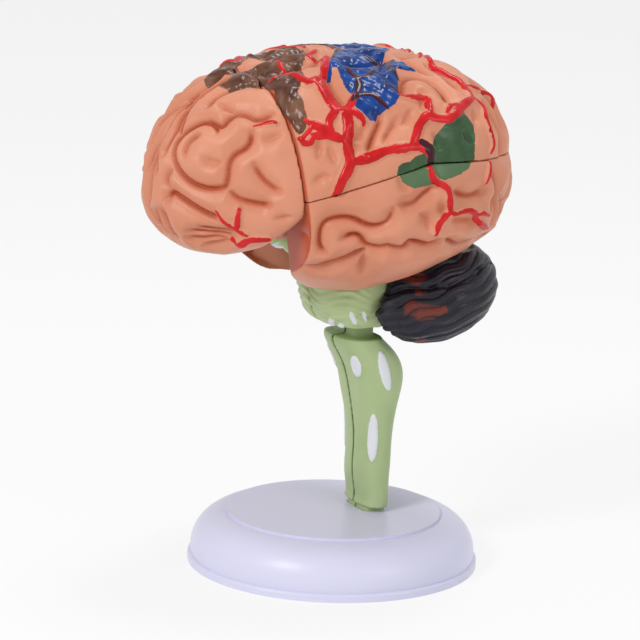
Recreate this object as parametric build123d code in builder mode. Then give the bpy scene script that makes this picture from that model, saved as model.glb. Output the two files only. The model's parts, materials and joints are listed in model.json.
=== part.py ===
from build123d import *
from math import atan2, cos, degrees, exp, hypot, pi, radians, sin, tan
import os

# Cerebrum: an egg-shaped skin, widest a little behind its middle
FRONT = 49.8            # widest cross-section to the frontal pole
BACK = 41.0             # widest cross-section to the occipital pole
HALF_WIDTH = 38.0
CROWN = 29.6            # skin above the axis of the egg
AXIS_Z = 97.7           # height of that axis above the table
AXIS_RISE = 1.2         # rise of the axis from the middle to the back
EGG = 0.25              # extra width towards the back
FRONT_POWER = 2.1       # bluntness of the frontal pole seen from above
BACK_POWER = 1.8        # the same, occipital pole
CROWN_POWER = 2.3       # bluntness of the poles seen from the side
FLOOR_POWER = 3.0
TOP_POWER = 2.5         # squareness of a cross-section, upper half
BOTTOM_POWER = 2.7      # the same, lower half
FISSURE_DEPTH = 2.4     # groove between the hemispheres
FISSURE_REACH = 2.6

# Seams between the lobes
SEAM = 0.3              # gap between the halves, and at the crosswise cut
SIDE_SEAM = 0.5         # gap at the side cut
KNEE_EASE = 0.5         # extra gap at the bend of the side cut, fading to nothing at both its ends
FRONT_CUT = 23.0        # widest cross-section forward to the crosswise cut, at the side cut
CUT_LEAN = 8.5          # degrees that the crosswise cut leans forward at the crown
SIDE_CUT_FRONT_Z = 95.8  # height of the side cut at the crosswise cut
SIDE_CUT_KNEE = 5.0     # widest cross-section back to the bend of the side cut
SIDE_CUT_KNEE_Z = 105.2
SIDE_CUT_BACK_Z = 104.5  # at the occipital pole

# Stand and stalk
CORD_BACK = 10.0        # widest cross-section back to the foot of the stalk
PONS_BACK = 2.4         # widest cross-section back to the middle of the pons
STAND_BACK = 1.0        # widest cross-section back to the stand's axis
STAND_RADIUS = 36.0
STAND_RIM = 2.0
RIM_STEP = 0.8
FLANK_INSET = 1.7       # edge of the stand in to the fullest place of its domed flank
FLANK_Z = 7.5
SHOULDER_INSET = 8.5
TOP_INSET = 9.4
STAND_HEIGHT = 13.0
STAND_STEP = 0.7
STAND_WALL = 2.0
PEG_WIDTH = 11.0
PEG_DEPTH = 5.8
PEG_CORNER = 1.6
PEG_LENGTH = 8.0
PEG_CLEARANCE = 0.2
SOCKET_WALL = 1.8
CORD_LIFT = 1.4         # bare peg between the stand and the stalk
CORD_TOP = 57.4
NECK_HEIGHT = 3.6
PONS_HEIGHT = 17.0
PONS_HALF_WIDTH = 14.0
PONS_HALF_DEPTH = 10.0
STEM_POWER = 2.6        # squareness of the stem's cross-sections
MIDBRAIN_HALF_WIDTH = 8.0
MIDBRAIN_HALF_DEPTH = 6.5
MIDBRAIN_HEIGHT = 6.0
NECK_WIDTH = 11.0
NECK_DEPTH = 5.6
NECK_BACK = 5.5

# Core on the brain stem
CORE_HALF_WIDTH = 15.0
CORE_BACK = 18.0
THALAMUS_HALF_WIDTH = 9.2
THALAMUS_HEIGHT = 16.5
CALLOSUM_HEIGHT = 6.5
CALLOSUM_HALF_WIDTH = 8.0
CORE_CLEARANCE = 0.4
CORE_CORNER = 4.0
CORE_BACK_CORNER = 3.5
PIN_RADIUS = 2.0
PIN_LENGTH = 5.0
PIN_CLEARANCE = 0.25
PIN_ROOT = 1.0          # buried in the piece that carries the pin

CAUDATE_SIDE = 11.3
CAUDATE_BACK = -3.0
CAUDATE_LENGTH = 38.0
CAUDATE_HEAD = 2.9
CAUDATE_TAIL = 1.4
CALLOSUM_LENGTH = 37.0
CALLOSUM_BACK = -4.5
CALLOSUM_BEND = 4.5
CALLOSUM_EDGE = 1.2
FORNIX_LENGTH = 38.4
FORNIX_HALF_WIDTH = 2.1
FORNIX_HEIGHT = 2.6
NERVE_RADIUS = 1.7
NERVE_SIDE = 4.8
NERVE_FRONT = 14.5      # widest cross-section forward to the nerve stumps
NERVE_REACH = 7.5
HIPPOCAMPUS_SIDE = 12.4
HIPPOCAMPUS_DROP = 2.8  # its middle line below the core
HIPPOCAMPUS_LENGTH = 17.0
HIPPOCAMPUS_HEAD = 1.9
HIPPOCAMPUS_TAIL = 1.2
HIPPOCAMPUS_BACK = -4.8
POLE_INSET = 11.0       # middle plane to the inner wall of the temporal pole

POCKET_HALF_WIDTH = 24.5  # room over the cerebellum under the temporal lobe
POCKET_GAP = 1.0        # cerebellum to the front wall of that room
ROOF_GAP = 1.8

# Cerebellum
CEREBELLUM_RADIUS = 15.8
CEREBELLUM_SIDE = 10.5
CEREBELLUM_BACK = 21.0
CEREBELLUM_Z = 69.4
CEREBELLUM_HALF_HEIGHT = 12.0
CEREBELLUM_TILT = 22.0
CEREBELLUM_TOP = 79.3
FOLIA = 13
FOLIUM_DEPTH = 0.6

# The length is centred on the origin, which lies on the table
EAR_Y = (FRONT - BACK) / 2
FRONT_Y = EAR_Y - FRONT
CUT_Y = EAR_Y - FRONT_CUT
STAND_Y = EAR_Y + STAND_BACK
SHOULDER_Z = STAND_HEIGHT - STAND_STEP
PEG_Z = STAND_HEIGHT - PEG_LENGTH
SOCKET_FLOOR_Z = PEG_Z - PEG_CLEARANCE
SOCKET_WIDTH = PEG_WIDTH + 2 * PEG_CLEARANCE
SOCKET_DEPTH = PEG_DEPTH + 2 * PEG_CLEARANCE
CORD_Y = EAR_Y + CORD_BACK
PONS_Y = EAR_Y + PONS_BACK
FLANK_RADIUS = STAND_RADIUS - FLANK_INSET
SHOULDER_RADIUS = STAND_RADIUS - SHOULDER_INSET
TOP_RADIUS = STAND_RADIUS - TOP_INSET
PONS_BOTTOM = CORD_TOP + NECK_HEIGHT
PONS_TOP = PONS_BOTTOM + PONS_HEIGHT
CORE_BOTTOM = PONS_TOP + MIDBRAIN_HEIGHT
THALAMUS_TOP = CORE_BOTTOM + THALAMUS_HEIGHT
CALLOSUM_TOP = THALAMUS_TOP + CALLOSUM_HEIGHT
HIPPOCAMPUS_Z = CORE_BOTTOM - HIPPOCAMPUS_DROP

# Creases between the folds of the lobes. Each is a chain of places on the skin, seen from
# the middle of the brain: degrees from the side towards the forehead, and degrees upwards
CREASE_HALF_WIDTH = 2.3
CREASE_DEPTH = 1.7
CREASE_LIFT = 0.5       # cutter above the skin
SHOULDER_SPREAD = 0.42  # place of the rounded shoulder of a crease, shares of its size
SHOULDER_DROP = 0.3
FRONTAL_CREASES = (
    ((50, 30), (57, 25), (64, 24), (71, 18)),
    ((76, 20), (79, 25), (77, 31), (72, 36), (65, 38), (58, 37)),
    ((68, 20), (74, 20), (79, 17), (82, 12), (80, 5)),
    ((81, 9), (78, 4), (71, 0), (63, 1)),
    ((64, -2), (63, 5), (62, 10), (59, 15), (58, 22)),
    ((65, 2), (61, -1), (56, -3), (50, -4), (44, -4)),
    ((83, -6), (79, -2), (75, -4), (70, -7), (63, -11)),
    ((80, -3), (83, 1), (81, 5)),
    ((56, 12), (53, 6), (49, 3), (44, 1)),
    ((89, 28), (86, 20), (84, 14), (85, 6)),
    ((85, -6), (84, -12), (82, -18)),
    ((77, -13), (69, -14), (60, -15)),
    ((53, -9), (46, -8), (40, -7)),
)
PARIETAL_CREASES = (
    ((8, 35), (12, 26), (15, 19), (16, 12)),
    ((34, 23), (34, 16), (34, 8)),
    ((28, 21), (27, 13), (26, 6)),
    ((27, 31), (22, 22), (20, 14)),
    ((7, 29), (1, 26), (-4, 31)),
    ((2, 31), (-3, 41), (-9, 46), (-17, 47)),
    ((-13, 47), (-20, 45), (-23, 38), (-20, 30)),
    ((-29, 30), (-28, 24), (-26, 17)),
    ((-38, 28), (-35, 20), (-33, 14)),
    ((-43, 54), (-38, 43), (-34, 34)),
    ((38, 51), (30, 39), (24, 31)),
    ((30, 58), (10, 59), (-10, 60)),
    ((-52, 38), (-53, 26), (-50, 16)),
    ((-66, 42), (-70, 29), (-66, 15)),
    ((-35, 66), (-62, 60), (-80, 48)),
)
TEMPORAL_CREASES = (
    ((31, -26), (33, -19), (33, -13), (30, -9), (24, -8)),
    ((28, -8), (20, -8), (14, -11), (9, -10), (6, -5)),
    ((8, -7), (4, -3), (0, -3), (-5, 2), (-11, 3)),
    ((27, -17), (21, -14), (16, -16), (11, -20)),
    ((17, -19), (8, -18), (1, -20), (-4, -17)),
    ((0, -18), (-7, -18), (-14, -14)),
    ((-11, -16), (-18, -18), (-25, -19), (-32, -16)),
    ((42, -30), (36, -31), (28, -27), (20, -23), (13, -19)),
    ((15, -20), (16, -26), (16, -33)),
    ((-12, 3), (-18, 0), (-24, 0), (-30, 3)),
    ((-12, -8), (-18, -9), (-25, -11)),
    ((-29, -10), (-33, -4), (-33, 3), (-30, 10)),
    ((-41, -14), (-41, -7), (-36, 0)),
    ((-52, 9), (-55, 0), (-52, -10)),
    ((-68, 9), (-72, -2), (-68, -13)),
)

# Underside of the skin: place along the brain as a share of its front or back length,
# front negative, then depth below the axis
FRONTAL_FLOOR = ((-0.995, 18.7), (-0.934, 19.7), (-0.823, 20.4), (-0.703, 19.5), (-0.582, 16.5),
                 (-0.47, 10.9), (-0.4, 8.0))
REAR_FLOOR = ((-0.575, 14.7), (-0.422, 22.2), (-0.261, 25.5), (-0.08, 26.5), (0.146, 24.2),
              (0.39, 21.1), (0.634, 18.7), (0.805, 18.0), (0.92, 17.8), (0.985, 17.7))

# Cross-sections of the cord: share of its height, place behind the widest cross-section,
# half width and half depth
CORD_SECTIONS = ((0, CORD_BACK, 8.0, 3.9), (0.13, CORD_BACK, 8.1, 4.0), (0.28, CORD_BACK, 8.2, 4.2),
                 (0.43, CORD_BACK + 0.2, 8.3, 4.4), (0.58, CORD_BACK + 0.1, 9.0, 5.3),
                 (0.76, CORD_BACK, 10.0, 6.8), (0.88, CORD_BACK - 1.8, 10.0, 7.1),
                 (1, CORD_BACK - 5.1, 9.6, 5.4))
# The same for the pons, its widths and depths as shares of its greatest
PONS_SECTIONS = ((0, 1.2, 0.79, 0.73), (0.13, 0.6, 0.9, 0.89), (0.42, 0, 1, 1), (0.74, 0, 0.97, 0.97),
                 (1, 0.2, 0.82, 0.86))


def fall(share, power):
    """Height of a rounded hump at a share of its half length."""
    return max(0.0, 1 - abs(share) ** power) ** (1 / power)


def blend(stations, share):
    """Value at a place between stations, on straight lines."""
    share = min(max(share, stations[0][0]), stations[-1][0])
    for (start, low), (end, high) in zip(stations, stations[1:]):
        if share <= end:
            return low + (high - low) * (share - start) / (end - start)


def along(share):
    """Place behind the widest cross-section, from a share of the front or back length."""
    return share * (FRONT if share < 0 else BACK)


def skin_radius(share, drop, clock):
    """Distance from the axis to the skin, clock in degrees from the crown to the side."""
    plan_power = FRONT_POWER if share < 0 else BACK_POWER
    width = HALF_WIDTH * (1 + EGG * share) * fall(share, plan_power)
    if clock < 90:
        rise, power = CROWN * fall(share, CROWN_POWER), TOP_POWER
    else:
        rise, power = (drop + AXIS_RISE * share) * fall(share, FLOOR_POWER), BOTTOM_POWER
    side, up = abs(sin(radians(clock))), abs(cos(radians(clock)))
    return ((side / width) ** power + (up / rise) ** power) ** (-1 / power)


def skin_outline(share, drop):
    """Half outline of the skin, from the crown round the side to the underside."""
    outline = []
    for clock in (0, 4.5, 12, 28, 46, 64, 82, 100, 118, 138, 158, 180):
        reach = skin_radius(share, drop, clock)
        side = reach * sin(radians(clock))
        groove = FISSURE_DEPTH * fall(share, CROWN_POWER) if clock < 90 else 0
        dip = groove * exp(-(side / FISSURE_REACH) ** 2)
        outline.append((side, AXIS_Z + AXIS_RISE * share + reach * cos(radians(clock)) - dip))
    return outline


def skin_point(ahead, up):
    """Point of the skin seen from the middle of the brain."""
    way = Vector(cos(radians(up)) * cos(radians(ahead)), -cos(radians(up)) * sin(radians(ahead)),
                 sin(radians(up)))
    near, far = 0.0, FRONT + BACK
    while far - near > 0.01:
        reach = (near + far) / 2
        spot = way * reach
        if within_skin(abs(spot.X), spot.Y, AXIS_Z + spot.Z):
            near = reach
        else:
            far = reach
    return Vector(0, EAR_Y, AXIS_Z) + way * near


def within_skin(side, run, height):
    """True for a place inside the skin, run counted from the widest cross-section."""
    share = run / (FRONT if run < 0 else BACK)
    if abs(share) >= 1:
        return False
    drop = blend(FRONTAL_FLOOR if run < -FRONT_CUT else REAR_FLOOR, share)
    rise = height - AXIS_Z - AXIS_RISE * share
    return hypot(side, rise) < skin_radius(share, drop, degrees(atan2(side, rise)))


def skin_normal(ahead, up):
    """Outward direction of the skin."""
    across = skin_point(ahead - 2, up) - skin_point(ahead + 2, up)
    along = skin_point(ahead, up + 2) - skin_point(ahead, up - 2)
    return across.cross(along).normalized()


def crease(chain):
    """Cutter for one crease: a groove with rounded shoulders that fades out at both ends."""
    points = [skin_point(*place) for place in chain]
    normals = [skin_normal(*place) for place in chain]
    tips = [Vertex(*(points[end] + normals[end] * CREASE_LIFT)) for end in (0, -1)]
    with BuildPart() as cutter:
        slices = []
        for before, point, after, normal in zip(points, points[1:], points[2:], normals[1:]):
            way = after - before
            way = way - normal * way.dot(normal)
            with BuildSketch(Plane(origin=point, x_dir=normal.cross(way), z_dir=way)) as notch:
                with BuildLine():
                    flank = ThreePointArc((-CREASE_HALF_WIDTH, CREASE_LIFT),
                                          (-SHOULDER_SPREAD * CREASE_HALF_WIDTH, -SHOULDER_DROP * CREASE_DEPTH),
                                          (0, -CREASE_DEPTH))
                    mirror(flank, about=Plane.YZ)
                    Line((CREASE_HALF_WIDTH, CREASE_LIFT), (-CREASE_HALF_WIDTH, CREASE_LIFT))
                make_face()
            slices.append(notch.sketch)
        loft([tips[0]] + slices + [tips[1]])
    return cutter.part


def crosswise(y):
    """Upright plane across the brain, its own x along X and its own y upwards."""
    return Plane(origin=(0, y, 0), x_dir=(1, 0, 0), z_dir=(0, -1, 0))


def cut_plane(ahead):
    """Leaning plane of the cut between the frontal and the rear lobes, moved ahead."""
    lean = radians(CUT_LEAN)
    cut = Plane(origin=(0, CUT_Y, SIDE_CUT_FRONT_Z), x_dir=(1, 0, 0), z_dir=(0, -cos(lean), -sin(lean)))
    return cut.offset(ahead)


def cut_y(height):
    """Place of that cut at a height."""
    return CUT_Y - (height - SIDE_CUT_FRONT_Z) * tan(radians(CUT_LEAN))


def half_skin(stations, pole):
    """Left half of the skin through the stations, closed by a pole, -1 in front or 1 behind."""
    with BuildPart() as skin:
        slices = []
        for share, drop in stations:
            with BuildSketch(crosswise(EAR_Y + along(share))) as cut_face:
                with BuildLine():
                    rim = Spline(*skin_outline(share, drop))
                    Line(rim @ 1, rim @ 0)
                make_face()
            slices.append(cut_face.sketch)
        tip = Vertex(0, EAR_Y + along(pole), AXIS_Z + AXIS_RISE * pole)
        if pole < 0:
            loft([tip] + slices)
        else:
            loft(slices + [tip])
    return skin.part


def half_column(sections, power):
    """Left half of an upright column through oval sections."""
    with BuildPart() as column:
        for height, run, half_width, half_depth in sections:
            with BuildSketch(Plane.XY.offset(height)):
                with BuildLine():
                    rim = Spline(*oval_outline(EAR_Y + run, half_width, half_depth, power))
                    Line(rim @ 1, rim @ 0)
                make_face()
        loft()
    return column.part


def oval_outline(middle_y, half_width, half_depth, power):
    """Left half of a squarish oval, from its front to its back."""
    outline = []
    for step in range(9):
        angle = pi * step / 8
        x = half_width * sin(angle) ** (2 / power)
        y = half_depth * abs(cos(angle)) ** (2 / power)
        outline.append((x, middle_y - y if angle < pi / 2 else middle_y + y))
    return outline


def room_for_pons(top):
    """Left half of the space that the pons needs, up to a height."""
    half_width = PONS_HALF_WIDTH + CORE_CLEARANCE
    half_depth = PONS_HALF_DEPTH + CORE_CLEARANCE
    ends = [(height, PONS_BACK, half_width, half_depth) for height in (CORD_TOP, top)]
    return half_column(ends, STEM_POWER)


def core_block(clearance):
    """Rounded block that the lobes close around, grown by a clearance, longer in front."""
    back_y = EAR_Y + CORE_BACK + clearance
    half_width = CORE_HALF_WIDTH + clearance
    with BuildPart() as block:
        with BuildSketch(crosswise(FRONT_Y)):
            with Locations((0, (CORE_BOTTOM + CALLOSUM_TOP) / 2)):
                RectangleRounded(2 * half_width, CALLOSUM_TOP - CORE_BOTTOM + 2 * clearance,
                                 CORE_CORNER + clearance)
        extrude(amount=-(back_y - FRONT_Y))
        back_rim = block.faces().sort_by(Axis.Y)[-1].edges()
        fillet(back_rim, CORE_BACK_CORNER)
    return block.part


def teardrop(length, head, tail):
    """Tapering rod along Y, its thick head in front, its middle on the origin."""
    with BuildPart() as rod:
        with BuildSketch(Plane.XY):
            with BuildLine():
                rim = Spline((tail / 2, -length / 2), (head, -0.34 * length), ((head + tail) / 2, 0),
                             (tail, 0.38 * length), (tail / 2, length / 2))
                Polyline(rim @ 1, (0, length / 2), (0, -length / 2), rim @ 0)
            make_face()
        revolve(axis=Axis.Y)
    return rod.part


FAR_Y = EAR_Y + 3 * BACK

with BuildPart() as front_region:
    with BuildSketch(cut_plane(SEAM / 2)):
        with Locations((SEAM / 2, 0)):
            Rectangle(2 * HALF_WIDTH, 2 * AXIS_Z, align=(Align.MIN, Align.CENTER))
    extrude(amount=FRONT)


def side_region(gap, knee_gap, end_z):
    """Left half of the space behind the crosswise cut, from the side cut, moved up, to a height."""
    with BuildPart() as region:
        with BuildSketch(Plane.YZ.offset(SEAM / 2)):
            with BuildLine():
                cut = Polyline((FRONT_Y, SIDE_CUT_FRONT_Z + gap), (CUT_Y, SIDE_CUT_FRONT_Z + gap),
                               (EAR_Y + SIDE_CUT_KNEE, SIDE_CUT_KNEE_Z + knee_gap),
                               (EAR_Y + BACK, SIDE_CUT_BACK_Z + gap), (FAR_Y, SIDE_CUT_BACK_Z + gap))
                Polyline(cut @ 1, (FAR_Y, end_z), (FRONT_Y, end_z), cut @ 0)
            make_face()
        extrude(amount=2 * HALF_WIDTH)
        split(bisect_by=cut_plane(-SEAM / 2), keep=Keep.BOTTOM)
    return region.part


front_skin = half_skin(FRONTAL_FLOOR, -1)
rear_skin = half_skin(REAR_FLOOR, 1)

# Pins and the faces that they stand on
SIDE_PIN_Y = EAR_Y - 4.0
TOP_PIN_Y = EAR_Y - 3.0
FRONT_PIN_X = 5.0
TOP_PIN_X = 4.5
REAR_PIN_X = 6.5
CORE_PIN_Z = CORE_BOTTOM + 8.0
REAR_PIN_Z = PONS_BOTTOM + 7.5
FRONT_PIN_Y = cut_y(CORE_PIN_Z)


def facing(x, y, z, way):
    """Plane at a point, its outward side along a way."""
    return Plane(origin=(x, y, z), z_dir=way)


def pin(root=PIN_ROOT):
    """Pin whose root lies below its plane."""
    Cylinder(PIN_RADIUS, root + PIN_LENGTH, align=(Align.CENTER, Align.CENTER, Align.MIN))


def pin_hole():
    """Hole for a pin, bored from a plane outside the piece by the root's length."""
    Hole(PIN_RADIUS + PIN_CLEARANCE, PIN_ROOT + PIN_LENGTH + PIN_CLEARANCE)


with BuildPart() as stand_base:
    with BuildSketch(crosswise(STAND_Y)):
        with BuildLine():
            flank = ThreePointArc((STAND_RADIUS - RIM_STEP, STAND_RIM), (FLANK_RADIUS, FLANK_Z),
                                  (SHOULDER_RADIUS, SHOULDER_Z))
            Polyline(flank @ 1, (TOP_RADIUS, SHOULDER_Z), (TOP_RADIUS, STAND_HEIGHT),
                     (0, STAND_HEIGHT), (0, 0), (STAND_RADIUS, 0), (STAND_RADIUS, STAND_RIM), flank @ 0)
        make_face()
    stand_axis = Axis((0, STAND_Y, 0), (0, 0, 1))
    revolve(axis=stand_axis)
    rim_edges = stand_base.edges().filter_by(GeomType.CIRCLE).group_by(Axis.Z)[1].sort_by(SortBy.RADIUS)
    fillet(rim_edges[-1], STAND_RIM / 3)
    with BuildSketch(crosswise(STAND_Y)):
        with BuildLine():
            inner_flank = ThreePointArc((STAND_RADIUS - RIM_STEP - STAND_WALL, 0),
                                        (FLANK_RADIUS - STAND_WALL, FLANK_Z - STAND_WALL),
                                        (SHOULDER_RADIUS - STAND_WALL, SHOULDER_Z - STAND_WALL))
            Polyline(inner_flank @ 1, (0, SHOULDER_Z - STAND_WALL), (0, 0), inner_flank @ 0)
        make_face()
    revolve(axis=stand_axis, mode=Mode.SUBTRACT)
    with BuildSketch(Plane.XY.offset(SOCKET_FLOOR_Z - STAND_WALL)):
        with Locations((0, CORD_Y)):
            RectangleRounded(SOCKET_WIDTH + 2 * SOCKET_WALL, SOCKET_DEPTH + 2 * SOCKET_WALL,
                             PEG_CORNER + SOCKET_WALL)
    extrude(amount=SHOULDER_Z - SOCKET_FLOOR_Z)
    with BuildSketch(Plane.XY.offset(SOCKET_FLOOR_Z)):
        with Locations((0, CORD_Y)):
            RectangleRounded(SOCKET_WIDTH, SOCKET_DEPTH, PEG_CORNER + PEG_CLEARANCE)
    extrude(amount=STAND_HEIGHT, mode=Mode.SUBTRACT)

CORD_FOOT_Z = STAND_HEIGHT + CORD_LIFT

with BuildPart() as cord_left:
    levels = [(CORD_FOOT_Z + share * (CORD_TOP - CORD_FOOT_Z), run, half_width, half_depth)
              for share, run, half_width, half_depth in CORD_SECTIONS]
    add(half_column(levels, STEM_POWER))
    with BuildSketch(Plane.XY.offset(PEG_Z)) as peg_outline:
        with Locations((0, CORD_Y)):
            RectangleRounded(PEG_WIDTH, PEG_DEPTH, PEG_CORNER)
        split(bisect_by=Plane.YZ)
    extrude(amount=CORD_FOOT_Z - PEG_Z)
    with BuildSketch(Plane.XY.offset(CORD_TOP)) as neck_outline:
        with Locations((0, EAR_Y + NECK_BACK)):
            RectangleRounded(NECK_WIDTH, NECK_DEPTH, PEG_CORNER)
        split(bisect_by=Plane.YZ)
    extrude(amount=PONS_BOTTOM - CORD_TOP)

with BuildPart() as pons_left:
    levels = [(PONS_BOTTOM + share * PONS_HEIGHT, PONS_BACK + shift, PONS_HALF_WIDTH * width,
               PONS_HALF_DEPTH * depth) for share, shift, width, depth in PONS_SECTIONS]
    add(half_column(levels, STEM_POWER))
    with Locations(facing(REAR_PIN_X, PONS_Y, REAR_PIN_Z, (0, 1, 0))):
        pin(PONS_HALF_DEPTH)

with BuildPart() as midbrain:
    with BuildSketch(Plane.XY.offset(PONS_TOP)):
        with Locations((0, PONS_Y)):
            Ellipse(MIDBRAIN_HALF_WIDTH, MIDBRAIN_HALF_DEPTH)
    extrude(amount=MIDBRAIN_HEIGHT)

with BuildPart() as thalamus_left:
    add(core_block(0))
    with BuildSketch(Plane.XY.offset(CORE_BOTTOM)):
        with Locations((0, EAR_Y)):
            Rectangle(THALAMUS_HALF_WIDTH, FAR_Y, align=(Align.MIN, Align.CENTER))
    extrude(amount=THALAMUS_HEIGHT, mode=Mode.INTERSECT)
    split(bisect_by=cut_plane(-SEAM / 2), keep=Keep.BOTTOM)
    with Locations(facing(FRONT_PIN_X, FRONT_PIN_Y + PIN_ROOT, CORE_PIN_Z, (0, -1, 0))):
        pin()

with BuildPart() as insula_left:
    add(core_block(0))
    with BuildSketch(Plane.XY.offset(CORE_BOTTOM)):
        with Locations((THALAMUS_HALF_WIDTH, EAR_Y)):
            Rectangle(CORE_HALF_WIDTH, FAR_Y, align=(Align.MIN, Align.CENTER))
    extrude(amount=THALAMUS_HEIGHT, mode=Mode.INTERSECT)
    split(bisect_by=cut_plane(-SEAM / 2), keep=Keep.BOTTOM)
    with Locations(facing(CORE_HALF_WIDTH - PIN_ROOT, SIDE_PIN_Y, CORE_PIN_Z, (1, 0, 0))):
        pin()

with BuildPart() as caudate_left:
    with Locations((CAUDATE_SIDE, EAR_Y + CAUDATE_BACK, THALAMUS_TOP + CAUDATE_TAIL)):
        add(teardrop(CAUDATE_LENGTH, CAUDATE_HEAD, CAUDATE_TAIL))
    split(bisect_by=Plane.XY.offset(THALAMUS_TOP))

with BuildPart() as corpus_callosum:
    with BuildSketch(Plane.YZ.offset(-CALLOSUM_HALF_WIDTH)):
        with Locations((EAR_Y + CALLOSUM_BACK, THALAMUS_TOP)):
            Rectangle(CALLOSUM_LENGTH, CALLOSUM_HEIGHT, align=(Align.CENTER, Align.MIN))
    extrude(amount=2 * CALLOSUM_HALF_WIDTH)
    top_corners = corpus_callosum.edges().filter_by(Axis.X).group_by(Axis.Z)[-1]
    fillet(top_corners, CALLOSUM_BEND)
    long_edges = corpus_callosum.faces().sort_by(Axis.Z)[-1].edges().filter_by(Axis.Y)
    fillet(long_edges, CALLOSUM_EDGE)
    with BuildSketch(Plane.XY.offset(THALAMUS_TOP)):
        with Locations((0, EAR_Y)):
            Rectangle(2 * FORNIX_HALF_WIDTH + SEAM, FAR_Y)
    extrude(amount=FORNIX_HEIGHT, mode=Mode.SUBTRACT)
    for side in (-1, 1):
        with Locations((side * TOP_PIN_X, TOP_PIN_Y, CALLOSUM_TOP - PIN_ROOT)):
            pin()

with BuildPart() as fornix:
    with BuildSketch(Plane.XY.offset(THALAMUS_TOP)):
        with Locations((0, EAR_Y + CALLOSUM_BACK)):
            SlotOverall(FORNIX_LENGTH, 2 * FORNIX_HALF_WIDTH, rotation=90)
    extrude(amount=FORNIX_HEIGHT)

with BuildPart() as optic_chiasm:
    for side in (-1, 1):
        front_end = Vector(side * NERVE_SIDE, EAR_Y - NERVE_FRONT, CORE_BOTTOM - NERVE_RADIUS)
        back_end = Vector(-side * NERVE_SIDE, EAR_Y - NERVE_FRONT + NERVE_REACH, CORE_BOTTOM - NERVE_RADIUS)
        with BuildSketch(Plane(origin=back_end, z_dir=front_end - back_end)):
            Circle(NERVE_RADIUS)
        extrude(amount=(front_end - back_end).length)

with BuildPart() as hippocampus_left:
    with Locations((HIPPOCAMPUS_SIDE, EAR_Y + HIPPOCAMPUS_BACK, HIPPOCAMPUS_Z)):
        add(teardrop(HIPPOCAMPUS_LENGTH, HIPPOCAMPUS_HEAD, HIPPOCAMPUS_TAIL))

# Turned outline of one half of the cerebellum, a row of thin leaves
leaf_plane = Plane(origin=(CEREBELLUM_SIDE, EAR_Y + CEREBELLUM_BACK, CEREBELLUM_Z), x_dir=(1, 0, 0),
                   z_dir=(0, -cos(radians(CEREBELLUM_TILT)), -sin(radians(CEREBELLUM_TILT))))


def leaf_point(turn, grow=0.0):
    """Point of the turned outline, turn in degrees from the equator."""
    return ((CEREBELLUM_RADIUS + grow) * cos(radians(turn)),
            (CEREBELLUM_HALF_HEIGHT + grow) * sin(radians(turn)))


with BuildPart() as cerebellum_left:
    with BuildSketch(leaf_plane):
        with BuildLine():
            for leaf in range(FOLIA):
                start = -90 + 180 * leaf / FOLIA
                end = -90 + 180 * (leaf + 1) / FOLIA
                ThreePointArc(leaf_point(start), leaf_point((start + end) / 2, FOLIUM_DEPTH), leaf_point(end))
            Line(leaf_point(90), leaf_point(-90))
        make_face()
    revolve(axis=Axis(leaf_plane.origin, leaf_plane.y_dir))
    split(bisect_by=Plane.YZ.offset(SEAM / 2))
    split(bisect_by=Plane.XY.offset(CEREBELLUM_TOP), keep=Keep.BOTTOM)
    add(room_for_pons(CORE_BOTTOM), mode=Mode.SUBTRACT)
    with Locations(facing(REAR_PIN_X, PONS_Y + PONS_HALF_DEPTH - PIN_ROOT, REAR_PIN_Z, (0, -1, 0))):
        pin_hole()

with BuildPart() as frontal_left:
    add(front_skin)
    for chain in FRONTAL_CREASES:
        add(crease(chain), mode=Mode.SUBTRACT)
    add(front_region.part, mode=Mode.INTERSECT)
    with Locations(facing(FRONT_PIN_X, FRONT_PIN_Y + PIN_ROOT, CORE_PIN_Z, (0, 1, 0))):
        pin_hole()

with BuildPart() as parietal_left:
    add(rear_skin)
    for chain in PARIETAL_CREASES:
        add(crease(chain), mode=Mode.SUBTRACT)
    add(side_region(SIDE_SEAM / 2, SIDE_SEAM / 2, 2 * AXIS_Z), mode=Mode.INTERSECT)
    add(core_block(CORE_CLEARANCE), mode=Mode.SUBTRACT)
    with Locations(facing(TOP_PIN_X, TOP_PIN_Y, CALLOSUM_TOP - PIN_ROOT, (0, 0, -1))):
        pin_hole()

with BuildPart() as temporal_left:
    add(rear_skin)
    for chain in TEMPORAL_CREASES:
        add(crease(chain), mode=Mode.SUBTRACT)
    add(side_region(-SIDE_SEAM / 2, -SIDE_SEAM / 2 - KNEE_EASE, 0), mode=Mode.INTERSECT)
    add(core_block(CORE_CLEARANCE), mode=Mode.SUBTRACT)
    with BuildSketch(Plane.XY.offset(CORD_TOP)):
        with Locations((0, FRONT_Y)):
            Rectangle(POLE_INSET, PONS_Y + PONS_HALF_DEPTH + CORE_CLEARANCE - FRONT_Y,
                      align=(Align.MIN, Align.MIN))
    extrude(amount=CORE_BOTTOM - CORD_TOP, mode=Mode.SUBTRACT)
    add(room_for_pons(PONS_TOP + CORE_CLEARANCE), mode=Mode.SUBTRACT)
    with BuildSketch(Plane.XY.offset(CORD_TOP)):
        with Locations((0, EAR_Y + CEREBELLUM_BACK - CEREBELLUM_RADIUS - POCKET_GAP)):
            Rectangle(POCKET_HALF_WIDTH, FAR_Y, align=(Align.MIN, Align.MIN))
    extrude(amount=CEREBELLUM_TOP + ROOF_GAP - CORD_TOP, mode=Mode.SUBTRACT)
    with Locations((HIPPOCAMPUS_SIDE, EAR_Y + HIPPOCAMPUS_BACK, HIPPOCAMPUS_Z)):
        add(teardrop(HIPPOCAMPUS_LENGTH + SEAM, HIPPOCAMPUS_HEAD + SEAM / 2, HIPPOCAMPUS_TAIL + SEAM / 2),
            mode=Mode.SUBTRACT)
    with Locations(facing(CORE_HALF_WIDTH - PIN_ROOT, SIDE_PIN_Y, CORE_PIN_Z, (-1, 0, 0))):
        pin_hole()

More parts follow.
